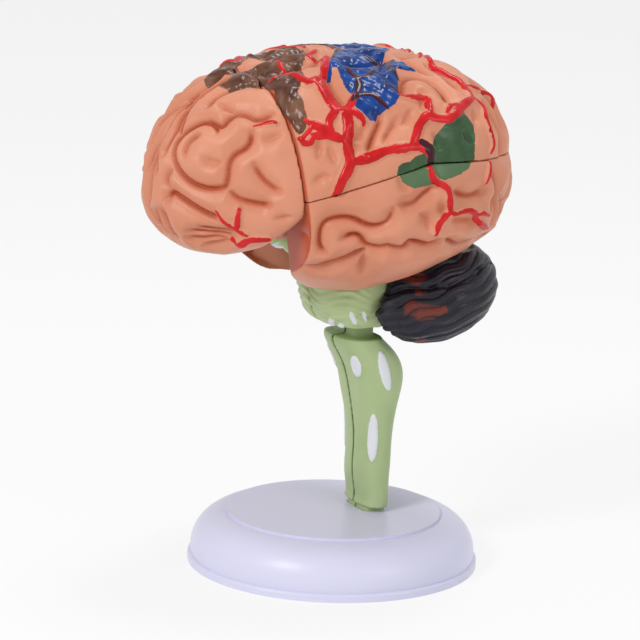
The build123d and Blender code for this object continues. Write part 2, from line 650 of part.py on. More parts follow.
middle_pieces = {"stand_base": stand_base, "midbrain": midbrain, "corpus_callosum": corpus_callosum,
                 "fornix": fornix, "optic_chiasm": optic_chiasm}
left_pieces = {"cord": cord_left, "pons": pons_left, "thalamus": thalamus_left, "insula": insula_left,
               "caudate": caudate_left, "hippocampus": hippocampus_left, "cerebellum": cerebellum_left,
               "frontal": frontal_left, "parietal": parietal_left, "temporal": temporal_left}

os.makedirs("parts", exist_ok=True)
for name, piece in middle_pieces.items():
    piece.part.label = name
    export_step(piece.part, f"parts/{name}.step")
for name, piece in left_pieces.items():
    piece.part.label = f"{name}_left"
    export_step(piece.part, f"parts/{name}_left.step")
    with BuildPart() as twin:
        mirror(piece.part, about=Plane.YZ)
    twin.part.label = f"{name}_right"
    export_step(twin.part, f"parts/{name}_right.step")
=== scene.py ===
import json
import math

import bpy
import numpy as np
from mathutils import Matrix, Vector


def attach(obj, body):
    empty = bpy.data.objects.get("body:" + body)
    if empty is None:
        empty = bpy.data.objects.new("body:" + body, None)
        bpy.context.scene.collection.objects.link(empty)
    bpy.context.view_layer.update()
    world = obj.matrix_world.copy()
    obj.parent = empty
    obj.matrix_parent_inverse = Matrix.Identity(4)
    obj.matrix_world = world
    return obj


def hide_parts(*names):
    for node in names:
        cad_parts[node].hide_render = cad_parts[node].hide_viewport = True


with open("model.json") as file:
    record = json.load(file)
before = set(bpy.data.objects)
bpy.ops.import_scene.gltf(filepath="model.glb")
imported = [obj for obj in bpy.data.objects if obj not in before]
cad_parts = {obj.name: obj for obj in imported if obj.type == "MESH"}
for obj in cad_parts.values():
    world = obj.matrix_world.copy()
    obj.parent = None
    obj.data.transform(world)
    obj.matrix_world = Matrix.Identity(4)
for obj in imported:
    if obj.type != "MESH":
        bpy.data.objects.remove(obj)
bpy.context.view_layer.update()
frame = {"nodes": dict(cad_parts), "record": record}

NODES = frame["nodes"]
MM = 0.001

# Camera of the photograph, in millimetres and in pixels of its 640 x 640 frame
PHOTO_SIZE = 640
CAMERA_PLACE = np.array([584.2, -279.5, 199.7])
CAMERA_AIM = np.array([-2.05, 1.2, 60.7])
CAMERA_ROLL = math.radians(1.76)
FOCAL_PIXELS = 2712.0
SENSOR = 36.0
PIXEL_MM = 0.24  # one pixel of the photograph at the object
SIGHT_NEAR, SIGHT_FAR, SIGHT_STEPS = 480, 760, 1401  # places tried along a line of sight
EDGE_ON = -0.05  # faces must turn to the camera by more than this to be painted

# Skin of the cerebrum, in millimetres: the same egg that the solids follow
FRONT, BACK, HALF_WIDTH, CROWN = 49.8, 41.0, 38.0, 29.6
AXIS_Z, AXIS_RISE, EGG = 97.7, 1.2, 0.25
FRONT_POWER, BACK_POWER, CROWN_POWER, FLOOR_POWER = 2.1, 1.8, 2.3, 3.0
TOP_POWER, BOTTOM_POWER = 2.5, 2.7
EAR_Y = (FRONT - BACK) / 2
CENTRE = np.array([0.0, EAR_Y, AXIS_Z])
FRONTAL_FLOOR = ((-0.995, 18.7), (-0.934, 19.7), (-0.823, 20.4), (-0.703, 19.5), (-0.582, 16.5),
                 (-0.47, 10.9), (-0.4, 8.0))
REAR_FLOOR = ((-0.575, 14.7), (-0.422, 22.2), (-0.261, 25.5), (-0.08, 26.5), (0.146, 24.2),
              (0.39, 21.1), (0.634, 18.7), (0.805, 18.0), (0.92, 17.8), (0.985, 17.7))
FRONT_CUT, CUT_LEAN, SIDE_CUT_Z = 23.0, math.radians(8.5), 95.8
SIDE_CUT = ((-23.0, 95.8), (5.0, 105.2), (41.0, 104.5))
SEAM = 0.3
SIDE_SEAM, KNEE_EASE = 0.5, 0.5
SHOWN_SEAM = 0.08  # half of the side cut's gap as it shows
SEAM_BLEND = 2.5  # height over which a lobe is stretched towards the side cut
POLE_INSET, POLE_ROUND, POLE_Z, POLE_FADE = 11.0, 13.0, 88.0, 6.0
POLE_HOLD = 3.4, 2.4  # from the skin: beyond the first the pole stays, within the second it follows
HALVINGS = 22  # of the search for the skin along a line
NORMAL_STEP = 0.05
LAST_SHARE = 0.9999  # of the half lengths, just short of their ends
OUTSIDE = 9.0  # level in front of the forehead and behind the back
TINY, FAR = 1e-9, 1e9  # nearly nothing, and beyond everything

# Meshes: sizes of their faces, then how much and how often they are evened out
VOXEL = 0.4
SOFTENING = 2
LEAF_VOXEL = STEM_VOXEL = 0.36
NERVE_VOXEL = 0.3
LOBE_EVENING, STEM_EVENING = 0.4, 0.3
NERVE_EVENING, STUMP_EVENING = (0.8, 6), (0.6, 3)

# Folds: furrows traced in the photograph, in its pixels
FURROWS_IN_PHOTO = (
    ((205, 111), (211, 100), (222, 92), (236, 86), (250, 83), (262, 85), (267, 88)),
    ((201, 118), (208, 119), (220, 125), (228, 118), (236, 113), (246, 114), (254, 118), (262, 118),
     (270, 114), (278, 111)),
    ((217, 137), (215, 126), (209, 121), (200, 121), (188, 127), (178, 136), (173, 147), (173, 158),
     (176, 168), (184, 178), (194, 185), (206, 189), (216, 189), (224, 187), (227, 178), (228, 166),
     (231, 158), (236, 153), (243, 149), (249, 142), (251, 131), (254, 127)),
    ((203, 134), (196, 134), (188, 140), (184, 150), (185, 162)),
    ((224, 187), (230, 193), (238, 199), (250, 203), (262, 205), (275, 206)),
    ((164, 203), (167, 197), (171, 193), (180, 199), (192, 207), (204, 214), (214, 218), (222, 223)),
    ((171, 193), (166, 186), (165, 178), (169, 171), (176, 168)),
    ((252, 160), (257, 172), (265, 182), (275, 189), (285, 194)),
    ((257, 141), (270, 138), (285, 134)),
    ((205, 88), (190, 103), (181, 120), (178, 128), (178, 138)),
    ((163, 205), (162, 213), (166, 224), (172, 234), (178, 241)),
    ((190, 232), (205, 235), (220, 235), (240, 238)),
    ((185, 237), (200, 240), (218, 240), (235, 243)),
    ((272, 219), (284, 218), (296, 216)),
    ((318, 138), (319, 150), (318, 162)),
    ((328, 142), (332, 156), (337, 166)),
    ((382, 112), (378, 125), (373, 137), (369, 150), (368, 158)),
    ((350, 128), (355, 138), (362, 133), (364, 122)),
    ((395, 122), (402, 124), (408, 118), (412, 108)),
    ((400, 98), (402, 88), (405, 78), (417, 76), (430, 80), (440, 88), (446, 97), (448, 107)),
    ((470, 108), (474, 116), (474, 128)),
    ((488, 112), (492, 125), (492, 133)),
    ((430, 66), (450, 78), (462, 90)),
    ((330, 80), (333, 92), (338, 102), (345, 108)),
    ((328, 258), (322, 252), (319, 245), (320, 232), (324, 224), (332, 220), (345, 218), (355, 220),
     (363, 224), (373, 227), (383, 225), (390, 219), (393, 210), (395, 205)),
    ((395, 205), (405, 205), (415, 203), (422, 197), (432, 189), (440, 188)),
    ((338, 240), (348, 237), (356, 236), (362, 240), (367, 247), (380, 249), (388, 247), (395, 249),
     (402, 250), (408, 246), (411, 243), (420, 245), (430, 247), (440, 242), (445, 238)),
    ((445, 238), (450, 243), (457, 247), (465, 246), (475, 240), (482, 236), (490, 237)),
    ((300, 266), (308, 268), (320, 268), (332, 264), (345, 259), (357, 254), (367, 249)),
    ((367, 252), (364, 262), (361, 272)),
    ((452, 190), (460, 194), (470, 196), (480, 193), (488, 190)),
    ((450, 220), (460, 221), (470, 221), (474, 226)),
    ((489, 213), (493, 205), (497, 197), (498, 190), (497, 180), (494, 170), (491, 160)),
    ((499, 225), (503, 218), (505, 208), (504, 200), (500, 195)),
    ((196, 92), (186, 100), (177, 110), (170, 118), (163, 128), (158, 140), (155, 152), (154, 165),
     (156, 178)),
    ((156, 206), (155, 214), (159, 225), (165, 235)),
    ((192, 228), (210, 231), (228, 232), (240, 232)),
    ((200, 246), (215, 245), (230, 243), (238, 241)),
    ((200, 157), (210, 161), (220, 163), (227, 165)),
    ((216, 103), (226, 108), (236, 112), (246, 114)),
    ((331, 60), (322, 58), (314, 62), (306, 68)),
    ((345, 139), (356, 146), (366, 152)),
    ((400, 115), (392, 128), (386, 138), (384, 148)),
    ((418, 90), (424, 100), (423, 112)),
    ((430, 132), (437, 140), (436, 150)),
    ((462, 128), (468, 138), (474, 146)),
    ((311, 186), (318, 180), (326, 176), (333, 177)),
    ((395, 172), (402, 184), (412, 192)),
    ((438, 200), (443, 210), (441, 221)),
    ((300, 232), (306, 243), (308, 256)),
    ((418, 212), (428, 220), (430, 232)),
    ((470, 250), (478, 247), (488, 246)),
)

# Furrows out of the photograph's sight: degrees from the side towards the forehead, and upwards
FURROWS_OUT_OF_SIGHT = (
    ((89, 28), (86, 20), (84, 14), (85, 6)),
    ((85, -6), (84, -12), (82, -18)),
    ((77, -13), (69, -14), (60, -15)),
    ((-43, 54), (-38, 43), (-34, 34)),
    ((38, 51), (30, 39), (24, 31)),
    ((30, 58), (10, 59), (-10, 60)),
    ((-52, 38), (-53, 26), (-50, 16)),
    ((-66, 42), (-70, 29), (-66, 15)),
    ((-35, 66), (-62, 60), (-80, 48)),
    ((42, -30), (36, -31), (28, -27), (20, -23), (13, -19)),
    ((15, -20), (16, -26), (16, -33)),
    ((-41, -14), (-41, -7), (-36, 0)),
    ((-52, 9), (-55, 0), (-52, -10)),
    ((-68, 9), (-72, -2), (-68, -13)),
    ((20, 70), (-8, 73), (-34, 76)),
    ((2, 50), (-10, 62), (-30, 70)),
    ((55, 55), (60, 47), (70, 44), (80, 46)),
    ((64, 60), (74, 55), (84, 54)),
    ((-28, 45), (-36, 58), (-50, 66)),
    ((-62, 52), (-66, 40), (-78, 33)),
    ((-44, 30), (-46, 18), (-42, 8)),
    ((-60, 26), (-62, 12), (-58, 2)),
    ((-78, 20), (-80, 6), (-76, -8)),
    ((-44, -2), (-48, -10), (-46, -16)),
    ((-60, -4), (-64, -12), (-60, -18)),
    ((85, 40), (87, 32), (86, 24)),
)
FURROW_DEPTH = 1.7  # of the rounded hollow between two folds
FURROW_REACH = 5.2
CREASE_DEPTH = 0.8  # of the narrow crease at its bottom
CREASE_REACH = 0.55
FOLD_SWELL = 0.55  # of the folds' middles above the skin
WHOLE_FURROW = 16.0  # length from which a furrow has its whole depth
SHORT_FURROW, SHORTEST_DEPTH = 3.0, 0.45  # up to this length it has only this share of its depth
FURROW_FADE = 3.0  # length over which a furrow's end runs out
FISSURE_DEPTH = 2.4  # between the hemispheres
FISSURE_REACH = 4.6
FISSURE_FADE = 8.0
PILLOW_SOFTNESS = 0.2  # rounds the bottom of a hollow
CROSS_ROUNDING, SIDE_ROUNDING = (0.85, 1.3), (0.25, 0.8)  # depth and reach along the cuts
SEAM_SHADE = 2.2, 0.4  # strength and reach of the painted shade along the crosswise cut
SWELL_FADE = 4.0  # distance from a cut at which the folds have their whole swell
LOBE_FACING = 0.3, 0.65  # how squarely a face looks outwards where it follows the skin
OUTER_LAYER = 0.9  # depth of the vertices that follow the skin
CARVED_LAYER, CARVED = 2.4, 0.01  # added to it where the folds are carved deeper than the second
LINE_STEP = 0.8  # between the places of a smooth line
LINE_MARGIN = 7.0  # past a line, beyond every depth and width

# Vessels: half width in millimetres, then the places in the photograph
ARTERIES = (
    (0.75, ((290, 75), (300, 81), (308, 86), (314, 84), (320, 80), (324, 74), (326, 66), (325, 62),
            (318, 60), (308, 59))),
    (0.6, ((308, 59), (316, 54))),
    (0.6, ((271, 83), (280, 77), (287, 74), (295, 78), (303, 83))),
    (0.5, ((278, 66), (288, 74))),
    (0.7, ((316, 86), (322, 92), (328, 101), (333, 108), (335, 113), (331, 119), (329, 125), (332, 132))),
    (0.75, ((322, 80), (326, 90), (333, 100), (340, 108), (350, 108), (354, 97))),
    (0.9, ((340, 110), (346, 112), (347, 120), (348, 130), (348, 142), (350, 155), (350, 163), (346, 172),
           (342, 180), (338, 190), (336, 194))),
    (0.7, ((346, 112), (355, 115), (362, 121), (363, 125))),
    (0.75, ((305, 122), (312, 126), (322, 130), (330, 135), (338, 139), (345, 140))),
    (0.6, ((300, 139), (305, 144), (311, 143), (313, 137), (330, 138), (346, 142))),
    (0.6, ((302, 140), (308, 133), (313, 127))),
    (0.85, ((350, 163), (360, 160), (372, 157), (385, 152), (400, 149), (410, 148), (420, 148),
            (427, 152), (430, 160))),
    (0.75, ((410, 145), (415, 135), (417, 128), (421, 121), (426, 117), (435, 120), (445, 121),
            (452, 117), (458, 110), (464, 105), (470, 101))),
    (0.5, ((444, 115), (448, 108), (455, 106))),
    (0.6, ((400, 97), (412, 99), (416, 100), (422, 97), (427, 101), (428, 108), (430, 116))),
    (0.6, ((470, 101), (468, 95), (464, 88), (458, 81), (450, 76), (440, 70), (432, 66), (426, 61),
           (419, 56), (410, 53), (402, 52))),
    (0.55, ((470, 101), (477, 105), (481, 110), (483, 120), (486, 130), (489, 140), (490, 148),
            (488, 153))),
    (0.5, ((467, 88), (474, 91), (480, 91), (486, 95), (491, 101), (494, 108))),
    (0.6, ((428, 167), (430, 173), (433, 180), (440, 184), (446, 189), (448, 197), (449, 212))),
    (0.55, ((449, 212), (443, 217), (438, 222), (434, 233))),
    (0.55, ((449, 212), (455, 213), (462, 211), (468, 210), (472, 213), (475, 220), (484, 226))),
    (0.45, ((474, 214), (480, 212), (485, 214))),
    (0.45, ((487, 161), (488, 170), (486, 176), (484, 183))),
    (0.5, ((255, 127), (262, 125), (270, 123), (276, 124))),
    (0.5, ((217, 210), (222, 218), (230, 225), (238, 229), (247, 233))),
    (0.5, ((240, 209), (239, 218), (238, 227), (242, 231))),
    (0.8, ((233, 240), (240, 243), (248, 238), (255, 237), (267, 236))),
)
VEINS = (
    (0.5, ((333, 60), (340, 52), (352, 49))),
    (0.55, ((346, 70), (350, 75), (356, 80), (359, 88), (356, 96), (352, 103))),
    (0.45, ((359, 80), (368, 79), (374, 73))),
    (0.55, ((352, 103), (360, 97), (372, 97), (380, 104), (387, 110))),
    (0.45, ((360, 58), (372, 62), (382, 63), (392, 61), (388, 68), (395, 75), (399, 80))),
    (0.4, ((385, 88), (395, 88), (402, 95))),
    (1.0, ((421, 143), (427, 148), (430, 155), (430, 162))),
)
ARTERY_HEIGHT, VEIN_HEIGHT = 0.95, 0.55
ARTERY_GAIN, VEIN_GAIN = 1.28, 1.2  # widths that show against those above
LINE_TIP, LINE_TAPER = 0.62, 2.5  # share of a line's width at its tip, and length of the taper
LINE_FOOT = 0.3  # past the paint, where the relief of a line ends
PAINT_HEIGHT = 0.28  # thick paint of the blue and brown patches
OFF_PAINT = -9.0  # signed distance from a patch that isn't near
PATCH_REACH = 30.0  # from the middle of a patch

# Painted patches, their outlines in the photograph
BLUE_PATCHES = (
    ((327, 78), (327, 66), (335, 57), (345, 52), (358, 48), (380, 48), (392, 51), (382, 58), (392, 62),
     (405, 64), (416, 71), (395, 71), (398, 80), (400, 96), (395, 105), (388, 110), (378, 115),
     (376, 121), (369, 121), (362, 114), (354, 108), (352, 97), (345, 88), (340, 76), (337, 70),
     (332, 70), (331, 79)),
)
GREEN_PATCHES = (
    ((412, 160), (424, 152), (431, 145), (437, 133), (445, 124), (453, 118), (459, 113), (466, 117),
     (471, 125), (474, 137), (473, 150), (471, 156), (432, 160)),
    ((403, 163), (415, 161), (425, 162), (432, 164), (432, 175), (433, 184), (425, 187), (413, 188),
     (403, 183), (397, 174), (398, 166)),
    ((432, 160), (450, 157), (471, 156), (473, 162), (468, 170), (455, 176), (443, 180), (436, 178),
     (432, 170)),
    ((406, 166), (414, 157), (424, 153), (434, 153), (440, 158), (438, 167), (420, 170)),
    ((458, 150), (473, 150), (474, 160), (460, 163)),
)
BROWN_PATCHES = (
    ((213, 85), (225, 78), (240, 71), (249, 70), (254, 82), (246, 84), (232, 88)),
    ((248, 70), (262, 66), (275, 60), (290, 52), (305, 50), (312, 54), (305, 60), (300, 70), (305, 80),
     (300, 95), (303, 110), (308, 122), (303, 133), (300, 140), (292, 128), (284, 115), (277, 100),
     (270, 88), (255, 82)),
)

# Cerebellum: an egg turned about a leaning axis, with leaves round it
LEAF_CENTRE = np.array([10.5, EAR_Y + 21.0, 69.4])
LEAF_LEAN = math.radians(22.0)
LEAF_AXIS = np.array([0.0, -math.sin(LEAF_LEAN), math.cos(LEAF_LEAN)])
LEAF_RADIUS, LEAF_HALF_HEIGHT = 15.8, 12.0
LEAVES = 13
FOLD_SHARE = 0.65  # of the leaves in the crests, against the finer grooves
LEAF_HEIGHT, FINE_HEIGHT, LEAF_SINK, LEAF_UNEVEN = 0.55, 0.28, 0.5, 0.12
LEAF_WANDER, FINE_WANDER = 0.3, 0.8  # how far leaves and finer grooves stray, in leaves and radians
LEAF_GROWTH = 1.1  # of the solid's flats up to the egg
LEAF_FACING = 0.35, 0.7
DEEP_NOTCH = 1.0, 0.7  # depth and reach
DEEP_FISSURE = ((388, 293), (405, 289), (425, 287), (450, 285), (470, 275), (490, 262))
BRICK_PATCHES = (
    ((395, 274), (402, 270), (414, 270), (431, 272), (430, 281), (418, 285), (404, 284), (396, 280)),
    ((414, 289), (425, 286), (440, 288), (438, 297), (424, 300), (414, 297)),
    ((397, 304), (410, 300), (430, 303), (450, 300), (452, 312), (440, 320), (420, 322), (403, 316)),
    ((413, 337), (420, 335), (427, 338), (424, 344), (415, 343)),
)

# Stem: roots and drips of pale paint, each an oval: its middle, half height, half width and lean
PALE_ROOTS = ((356.6, 365.8, 11.3, 4.9, 14), (384.2, 371, 20.5, 5.0, 13), (372.8, 438, 24, 5.2, -2),
              (344.5, 437, 9, 2.6, 0))
PALE_DRIPS = ((332, 322, 5.5, 2.4, 20), (341, 326, 3.5, 2.0, 70), (353, 318, 6.5, 2.6, 24),
              (364.5, 316, 5.5, 2.0, 20), (344.5, 286, 2.2, 4.0, 0))
GREEN_LUMPS = ((344.5, 420.5, 5.5, 3.8, 0),)
OVAL_CORNERS = 20
PALE_HEIGHT, LUMP_HEIGHT, STEM_UNEVEN = 0.45, 0.9, 0.12
PARTING_DEPTH, PARTING_REACH = 0.55, 0.45
MIDDLE_FACE = 0.5  # faces of a half nearer to the middle than this belong to its flat inner side
FIBRE_PERIOD, FIBRE_DEPTH, FIBRE_WANDER = 2.1, 0.2, 4.5
FIBRE_STEEPNESS = 0.7  # the flatter faces of the pons have no fibres
PONS_RIM_Z, PONS_RIM = 62.2, (0.5, 1.3)  # swelling round its lower edge, its height and reach
DEEPEST, PONS_ROOM, CORD_ROOM = -1.5, 0.38, 1.2  # lowest relief, and highest with room to other pieces

# Nerve stumps at the front of the crossing
NERVE_CROSSING_Y, STUMP_LENGTH = EAR_Y - 10.7, 3.0
STUMP_GROWTH, STUMP_DROP, NERVE_UNEVEN = 1.0, 0.8, 0.08

# Small lobe of the cerebellum beside the pons
FLOCCULUS = np.array([15.8, 11.0, 65.2])
FLOCCULUS_SIZE = 3.0, 4.5, 7.5
FLOCCULUS_INNER = 13.0, 14.4
FLOCCULUS_WAY = np.array([0.3, -1.0, -0.15])
FLOCCULUS_REACH, FLOCCULUS_UNEVEN = 3.2, 0.9

# Irregular waves: period in millimetres and seed of each, and how much they change a measure
WAVES = 6
DEPTH_WAVES, SWELL_WAVES, WIDTH_WAVES, PAINT_WAVES = (14, 3), (11, 5), (5, 7), (2.6, 11)
UNEVEN_DEPTH, UNEVEN_SWELL, UNEVEN_WIDTH, UNEVEN_PAINT = 0.15, 0.2, 0.2, 0.7
LEAF_WAVES, FINE_WAVES, HEIGHT_WAVES, FLOCCULUS_WAVES = (13, 21), (7, 23), (6, 25), (3.5, 27)
STEM_WAVES, FIBRE_WAVES, RIM_WAVES, FIBRE_HEIGHT_WAVES = (9, 31), (9, 33), (5, 35), (6, 37)
NERVE_WAVES, NERVE_PAINT_WAVES = (3, 41), (2, 43)

# Colours as linear light; a pair is the darker and the lighter cloud
FLESH = (0.600, 0.232, 0.135), (0.675, 0.282, 0.175)
# painted shade: the flesh darker in the hollows of the folds, darkest red-brown in their creases
SHADED_HOLLOW_FLESH, CREASE_SHADE_RED = (0.56, 0.16, 0.075), (0.40, 0.05, 0.014)
BROWN = (0.075, 0.022, 0.010), (0.195, 0.085, 0.048)
BLUE = (0.001, 0.024, 0.15), (0.002, 0.060, 0.31)
GREEN = (0.034, 0.080, 0.032), (0.055, 0.115, 0.050)
LOWER_GREEN = (0.092, 0.160, 0.076)
RED = (0.48, 0.003, 0.005), (0.66, 0.012, 0.016)
DARK_RED = (0.045, 0.003, 0.010)
NAVY = (0.006, 0.005, 0.011), (0.014, 0.012, 0.022)
# painted highlight: the lighter grey-blue on the crests of the leaves; the brick red is real dry-brushed
# paint
CREST_HIGHLIGHT, BRICK = (0.034, 0.034, 0.050), (0.205, 0.032, 0.018)
CORD_GREENS = (0.35, 0.455, 0.215), (0.41, 0.51, 0.26), (0.17, 0.24, 0.08)  # the third in the groove
PONS_GREENS = (0.40, 0.515, 0.245), (0.47, 0.58, 0.30), (0.42, 0.42, 0.14)
NERVE_GREENS = (0.36, 0.56, 0.20), (0.46, 0.64, 0.28), (0.36, 0.56, 0.20)
PALE_PAINT, LUMP_GREEN = (0.70, 0.72, 0.76), (0.20, 0.42, 0.06)
TAN = (0.46, 0.20, 0.11), (0.56, 0.27, 0.16)
CREAM = (0.62, 0.54, 0.38), (0.70, 0.62, 0.45)
MIDBRAIN_GREEN = (0.345, 0.43, 0.235), (0.40, 0.485, 0.285)
LAVENDER = (0.665, 0.665, 0.84), (0.70, 0.70, 0.88)

# Surfaces: light let into the plastic, its reflection, soft edge of the paint, depths of the bumps
SUBSURFACE_SPREAD, SUBSURFACE_SCALE = (1.0, 0.45, 0.3), 0.0012
LOBE_SUBSURFACE = STEM_SUBSURFACE = 0.08
LOBE_SPECULAR, LEAF_SPECULAR = 0.25, 0.32
EDGE_SOFTNESS = 0.06
GRAIN_DEPTH, PAINT_RELIEF = 0.0002, 0.0006

# Studio, in metres
LAMP_AIM = Vector((0, 0, 0.08))
FLOOR_REACH, FLOOR_GREY = 6.0, (0.9, 0.9, 0.9)
FLOOR_WHITENESS = 0.75  # share of plain white in the floor that the camera sees
ROOM_LIGHT = 0.5


def fall(share, power):
    """Height of a rounded hump at a share of its half length."""
    return np.maximum(TINY, 1 - np.abs(share) ** power) ** (1 / power)


def smooth(value, low, high):
    """Soft step from 0 at low to 1 at high, which may lie either way round."""
    t = np.clip((value - low) / (high - low), 0, 1)
    return t * t * (3 - 2 * t)


def length_of(ways):
    """Length of each row, or of a single way."""
    return np.linalg.norm(ways, axis=-1)


def unit(ways):
    """Ways shortened to a length of 1."""
    return ways / length_of(ways)[..., None]


def shares(points):
    """Places along the brain, from -1 at the forehead to 1 at its back."""
    run = points[:, 1] - EAR_Y
    return np.clip(np.where(run < 0, run / FRONT, run / BACK), -LAST_SHARE, LAST_SHARE)


def before_cut(points):
    """How far points lie in front of the crosswise cut between the lobes."""
    lean = (points[:, 2] - SIDE_CUT_Z) * math.tan(CUT_LEAN)
    return (EAR_Y - FRONT_CUT - lean - points[:, 1]) * math.cos(CUT_LEAN)


def over_side_cut(points):
    """How far points lie above the side cut between the lobes."""
    return points[:, 2] - np.interp(points[:, 1] - EAR_Y, *zip(*SIDE_CUT))


def skin_level(points):
    """Below 1 inside the skin, 1 on it, above 1 outside."""
    share = shares(points)
    rise = points[:, 2] - AXIS_Z - AXIS_RISE * share
    side = np.abs(points[:, 0])
    drop = np.where(before_cut(points) > 0, np.interp(share, *zip(*FRONTAL_FLOOR)),
                    np.interp(share, *zip(*REAR_FLOOR)))
    width = HALF_WIDTH * (1 + EGG * share)
    width *= np.where(share < 0, fall(share, FRONT_POWER), fall(share, BACK_POWER))
    height = np.where(rise > 0, CROWN * fall(share, CROWN_POWER),
                      (drop + AXIS_RISE * share) * fall(share, FLOOR_POWER))
    power = np.where(rise > 0, TOP_POWER, BOTTOM_POWER)
    level = ((side / width) ** power + (np.abs(rise) / height) ** power) ** (1 / power)
    beyond = np.abs(points[:, 1] - EAR_Y) > np.where(share < 0, FRONT, BACK)
    return np.where(beyond, OUTSIDE, level)


def onto_skin(points):
    """Points moved to the skin, along lines from the middle of the brain."""
    ways = unit(points - CENTRE)
    near, far = np.zeros(len(points)), np.full(len(points), FRONT + BACK)
    for _ in range(HALVINGS):
        reach = (near + far) / 2
        inside = skin_level(CENTRE + ways * reach[:, None]) < 1
        near, far = np.where(inside, reach, near), np.where(inside, far, reach)
    return CENTRE + ways * near[:, None]


def skin_normals(points):
    """Outward directions of the skin."""
    offsets = np.eye(3) * NORMAL_STEP
    slope = [skin_level(points + offset) - skin_level(points - offset) for offset in offsets]
    return unit(np.stack(slope, 1))


AHEAD = unit(CAMERA_AIM - CAMERA_PLACE)
LEVEL_RIGHT = unit(np.cross(AHEAD, (0, 0, 1)))
LEVEL_UP = np.cross(LEVEL_RIGHT, AHEAD)
RIGHT = LEVEL_RIGHT * math.cos(CAMERA_ROLL) + LEVEL_UP * math.sin(CAMERA_ROLL)
UP = LEVEL_UP * math.cos(CAMERA_ROLL) - LEVEL_RIGHT * math.sin(CAMERA_ROLL)


def sight(pixel):
    """Direction from the camera through a place in the photograph."""
    across, down = (np.array(pixel, float) - PHOTO_SIZE / 2) / FOCAL_PIXELS
    return unit(AHEAD + RIGHT * across - UP * down)


def from_photo(trace):
    """Skin points behind places in the photograph."""
    reach = np.linspace(SIGHT_NEAR, SIGHT_FAR, SIGHT_STEPS)
    found = []
    for pixel in trace:
        line = CAMERA_PLACE + sight(pixel) * reach[:, None]
        level = skin_level(line)
        inside = level < 1
        found.append(line[np.argmax(inside) if inside.any() else np.argmin(level)])
    return onto_skin(np.array(found))


def from_globe(chain):
    """Skin points from degrees towards the forehead and degrees upwards."""
    ahead, up = np.radians(np.array(chain, float)).T
    ways = np.stack([np.cos(up) * np.cos(ahead), -np.cos(up) * np.sin(ahead), np.sin(up)], 1)
    return onto_skin(CENTRE + ways)


def rounded(points):
    """A smooth line through points, with places at about one step."""
    padded = np.vstack([2 * points[0] - points[1], points, 2 * points[-1] - points[-2]])
    line = []
    for a, b, c, d in zip(padded, padded[1:], padded[2:], padded[3:]):
        count = max(2, int(length_of(c - b) / LINE_STEP))
        for t in np.arange(count) / count:
            line.append(0.5 * (2 * b + (c - a) * t + (2 * a - 5 * b + 4 * c - d) * t ** 2
                               + (3 * b - a - 3 * c + d) * t ** 3))
    return np.array(line + [points[-1]])


def to_stretch(spots, start, end):
    """Distance of spots to a straight stretch, and the share of the stretch passed there."""
    way = end - start
    share = np.clip((spots - start) @ way / (way @ way), 0, 1)
    return length_of(spots - start - share[:, None] * way), share


def distance_to_line(points, line):
    """Distance of points to a line, and how far from the line's ends they are nearest to it."""
    best, where, passed = np.full(len(points), FAR), np.zeros(len(points)), 0.0
    low, high = line.min(0) - LINE_MARGIN, line.max(0) + LINE_MARGIN
    near = np.where(((points > low) & (points < high)).all(1))[0]
    for start, end in zip(line, line[1:]):
        length = length_of(end - start)
        gap, share = to_stretch(points[near], start, end)
        nearer = gap < best[near]
        best[near[nearer]] = gap[nearer]
        where[near[nearer]] = passed + share[nearer] * length
        passed += length
    return best, np.minimum(where, passed - where)


def pillow(gap, depth, reach):
    """Depth of a hollow between two rounded folds."""
    t = np.clip(np.sqrt(gap ** 2 + PILLOW_SOFTNESS ** 2) / reach, 0, 1)
    return depth * (1 - np.sqrt(1 - (1 - t) ** 2))


def notch(gap, depth, reach):
    """Depth of a narrow crease."""
    return depth * np.exp(-(gap / reach) ** 2)


def wobble(points, period, seed):
    """Soft irregular waves, between about -1 and 1, of a period in millimetres."""
    draw = np.random.default_rng(seed)
    waves = np.zeros(len(points))
    for _ in range(WAVES):
        way = draw.normal(size=3)
        way *= 2 * math.pi / period / np.linalg.norm(way) * draw.uniform(0.7, 1.4)
        waves += np.sin(points @ way + draw.uniform(0, 2 * math.pi))
    return waves * 2 / WAVES


def both_sides(lines):
    """Lines of the left half and their mirror images."""
    return lines + [line * (-1, 1, 1) for line in lines]


def to_left(points):
    """Factors that turn the right half over onto the left one, and back."""
    return np.where(points[:, :1] < 0, (-1, 1, 1), (1, 1, 1))


furrows = both_sides([rounded(from_photo(trace)) for trace in FURROWS_IN_PHOTO]
                     + [rounded(from_globe(chain)) for chain in FURROWS_OUT_OF_SIGHT])
arteries, veins = (both_sides([rounded(from_photo(trace)) for _, trace in vessels])
                   for vessels in (ARTERIES, VEINS))
artery_widths = [ARTERY_GAIN * width for width, _ in ARTERIES] * 2
vein_widths = [VEIN_GAIN * width for width, _ in VEINS] * 2


def within(spots, corners):
    """Signed distance of flat spots to a closed outline, positive inside."""
    gap, inside = np.full(len(spots), FAR), np.zeros(len(spots), bool)
    for start, end in zip(corners, np.roll(corners, -1, 0)):
        gap = np.minimum(gap, to_stretch(spots, start, end)[0])
        crosses = (start[1] > spots[:, 1]) != (end[1] > spots[:, 1])
        rise = end[1] - start[1] if abs(end[1] - start[1]) > TINY else TINY
        inside ^= crosses & (spots[:, 0] < start[0] + (end[0] - start[0]) * (spots[:, 1] - start[1]) / rise)
    return np.where(inside, gap, -gap)


def in_photo(points):
    """Places in the photograph of points, those of the right half mirrored."""
    ways = points * to_left(points) - CAMERA_PLACE
    return (np.stack([ways @ RIGHT, -(ways @ UP)], 1) / (ways @ AHEAD)[:, None] * FOCAL_PIXELS
            + PHOTO_SIZE / 2)


def in_sight(points, normals):
    """Whether faces turn to the camera, those of the right half mirrored."""
    return (normals * to_left(points)) @ AHEAD < EDGE_ON


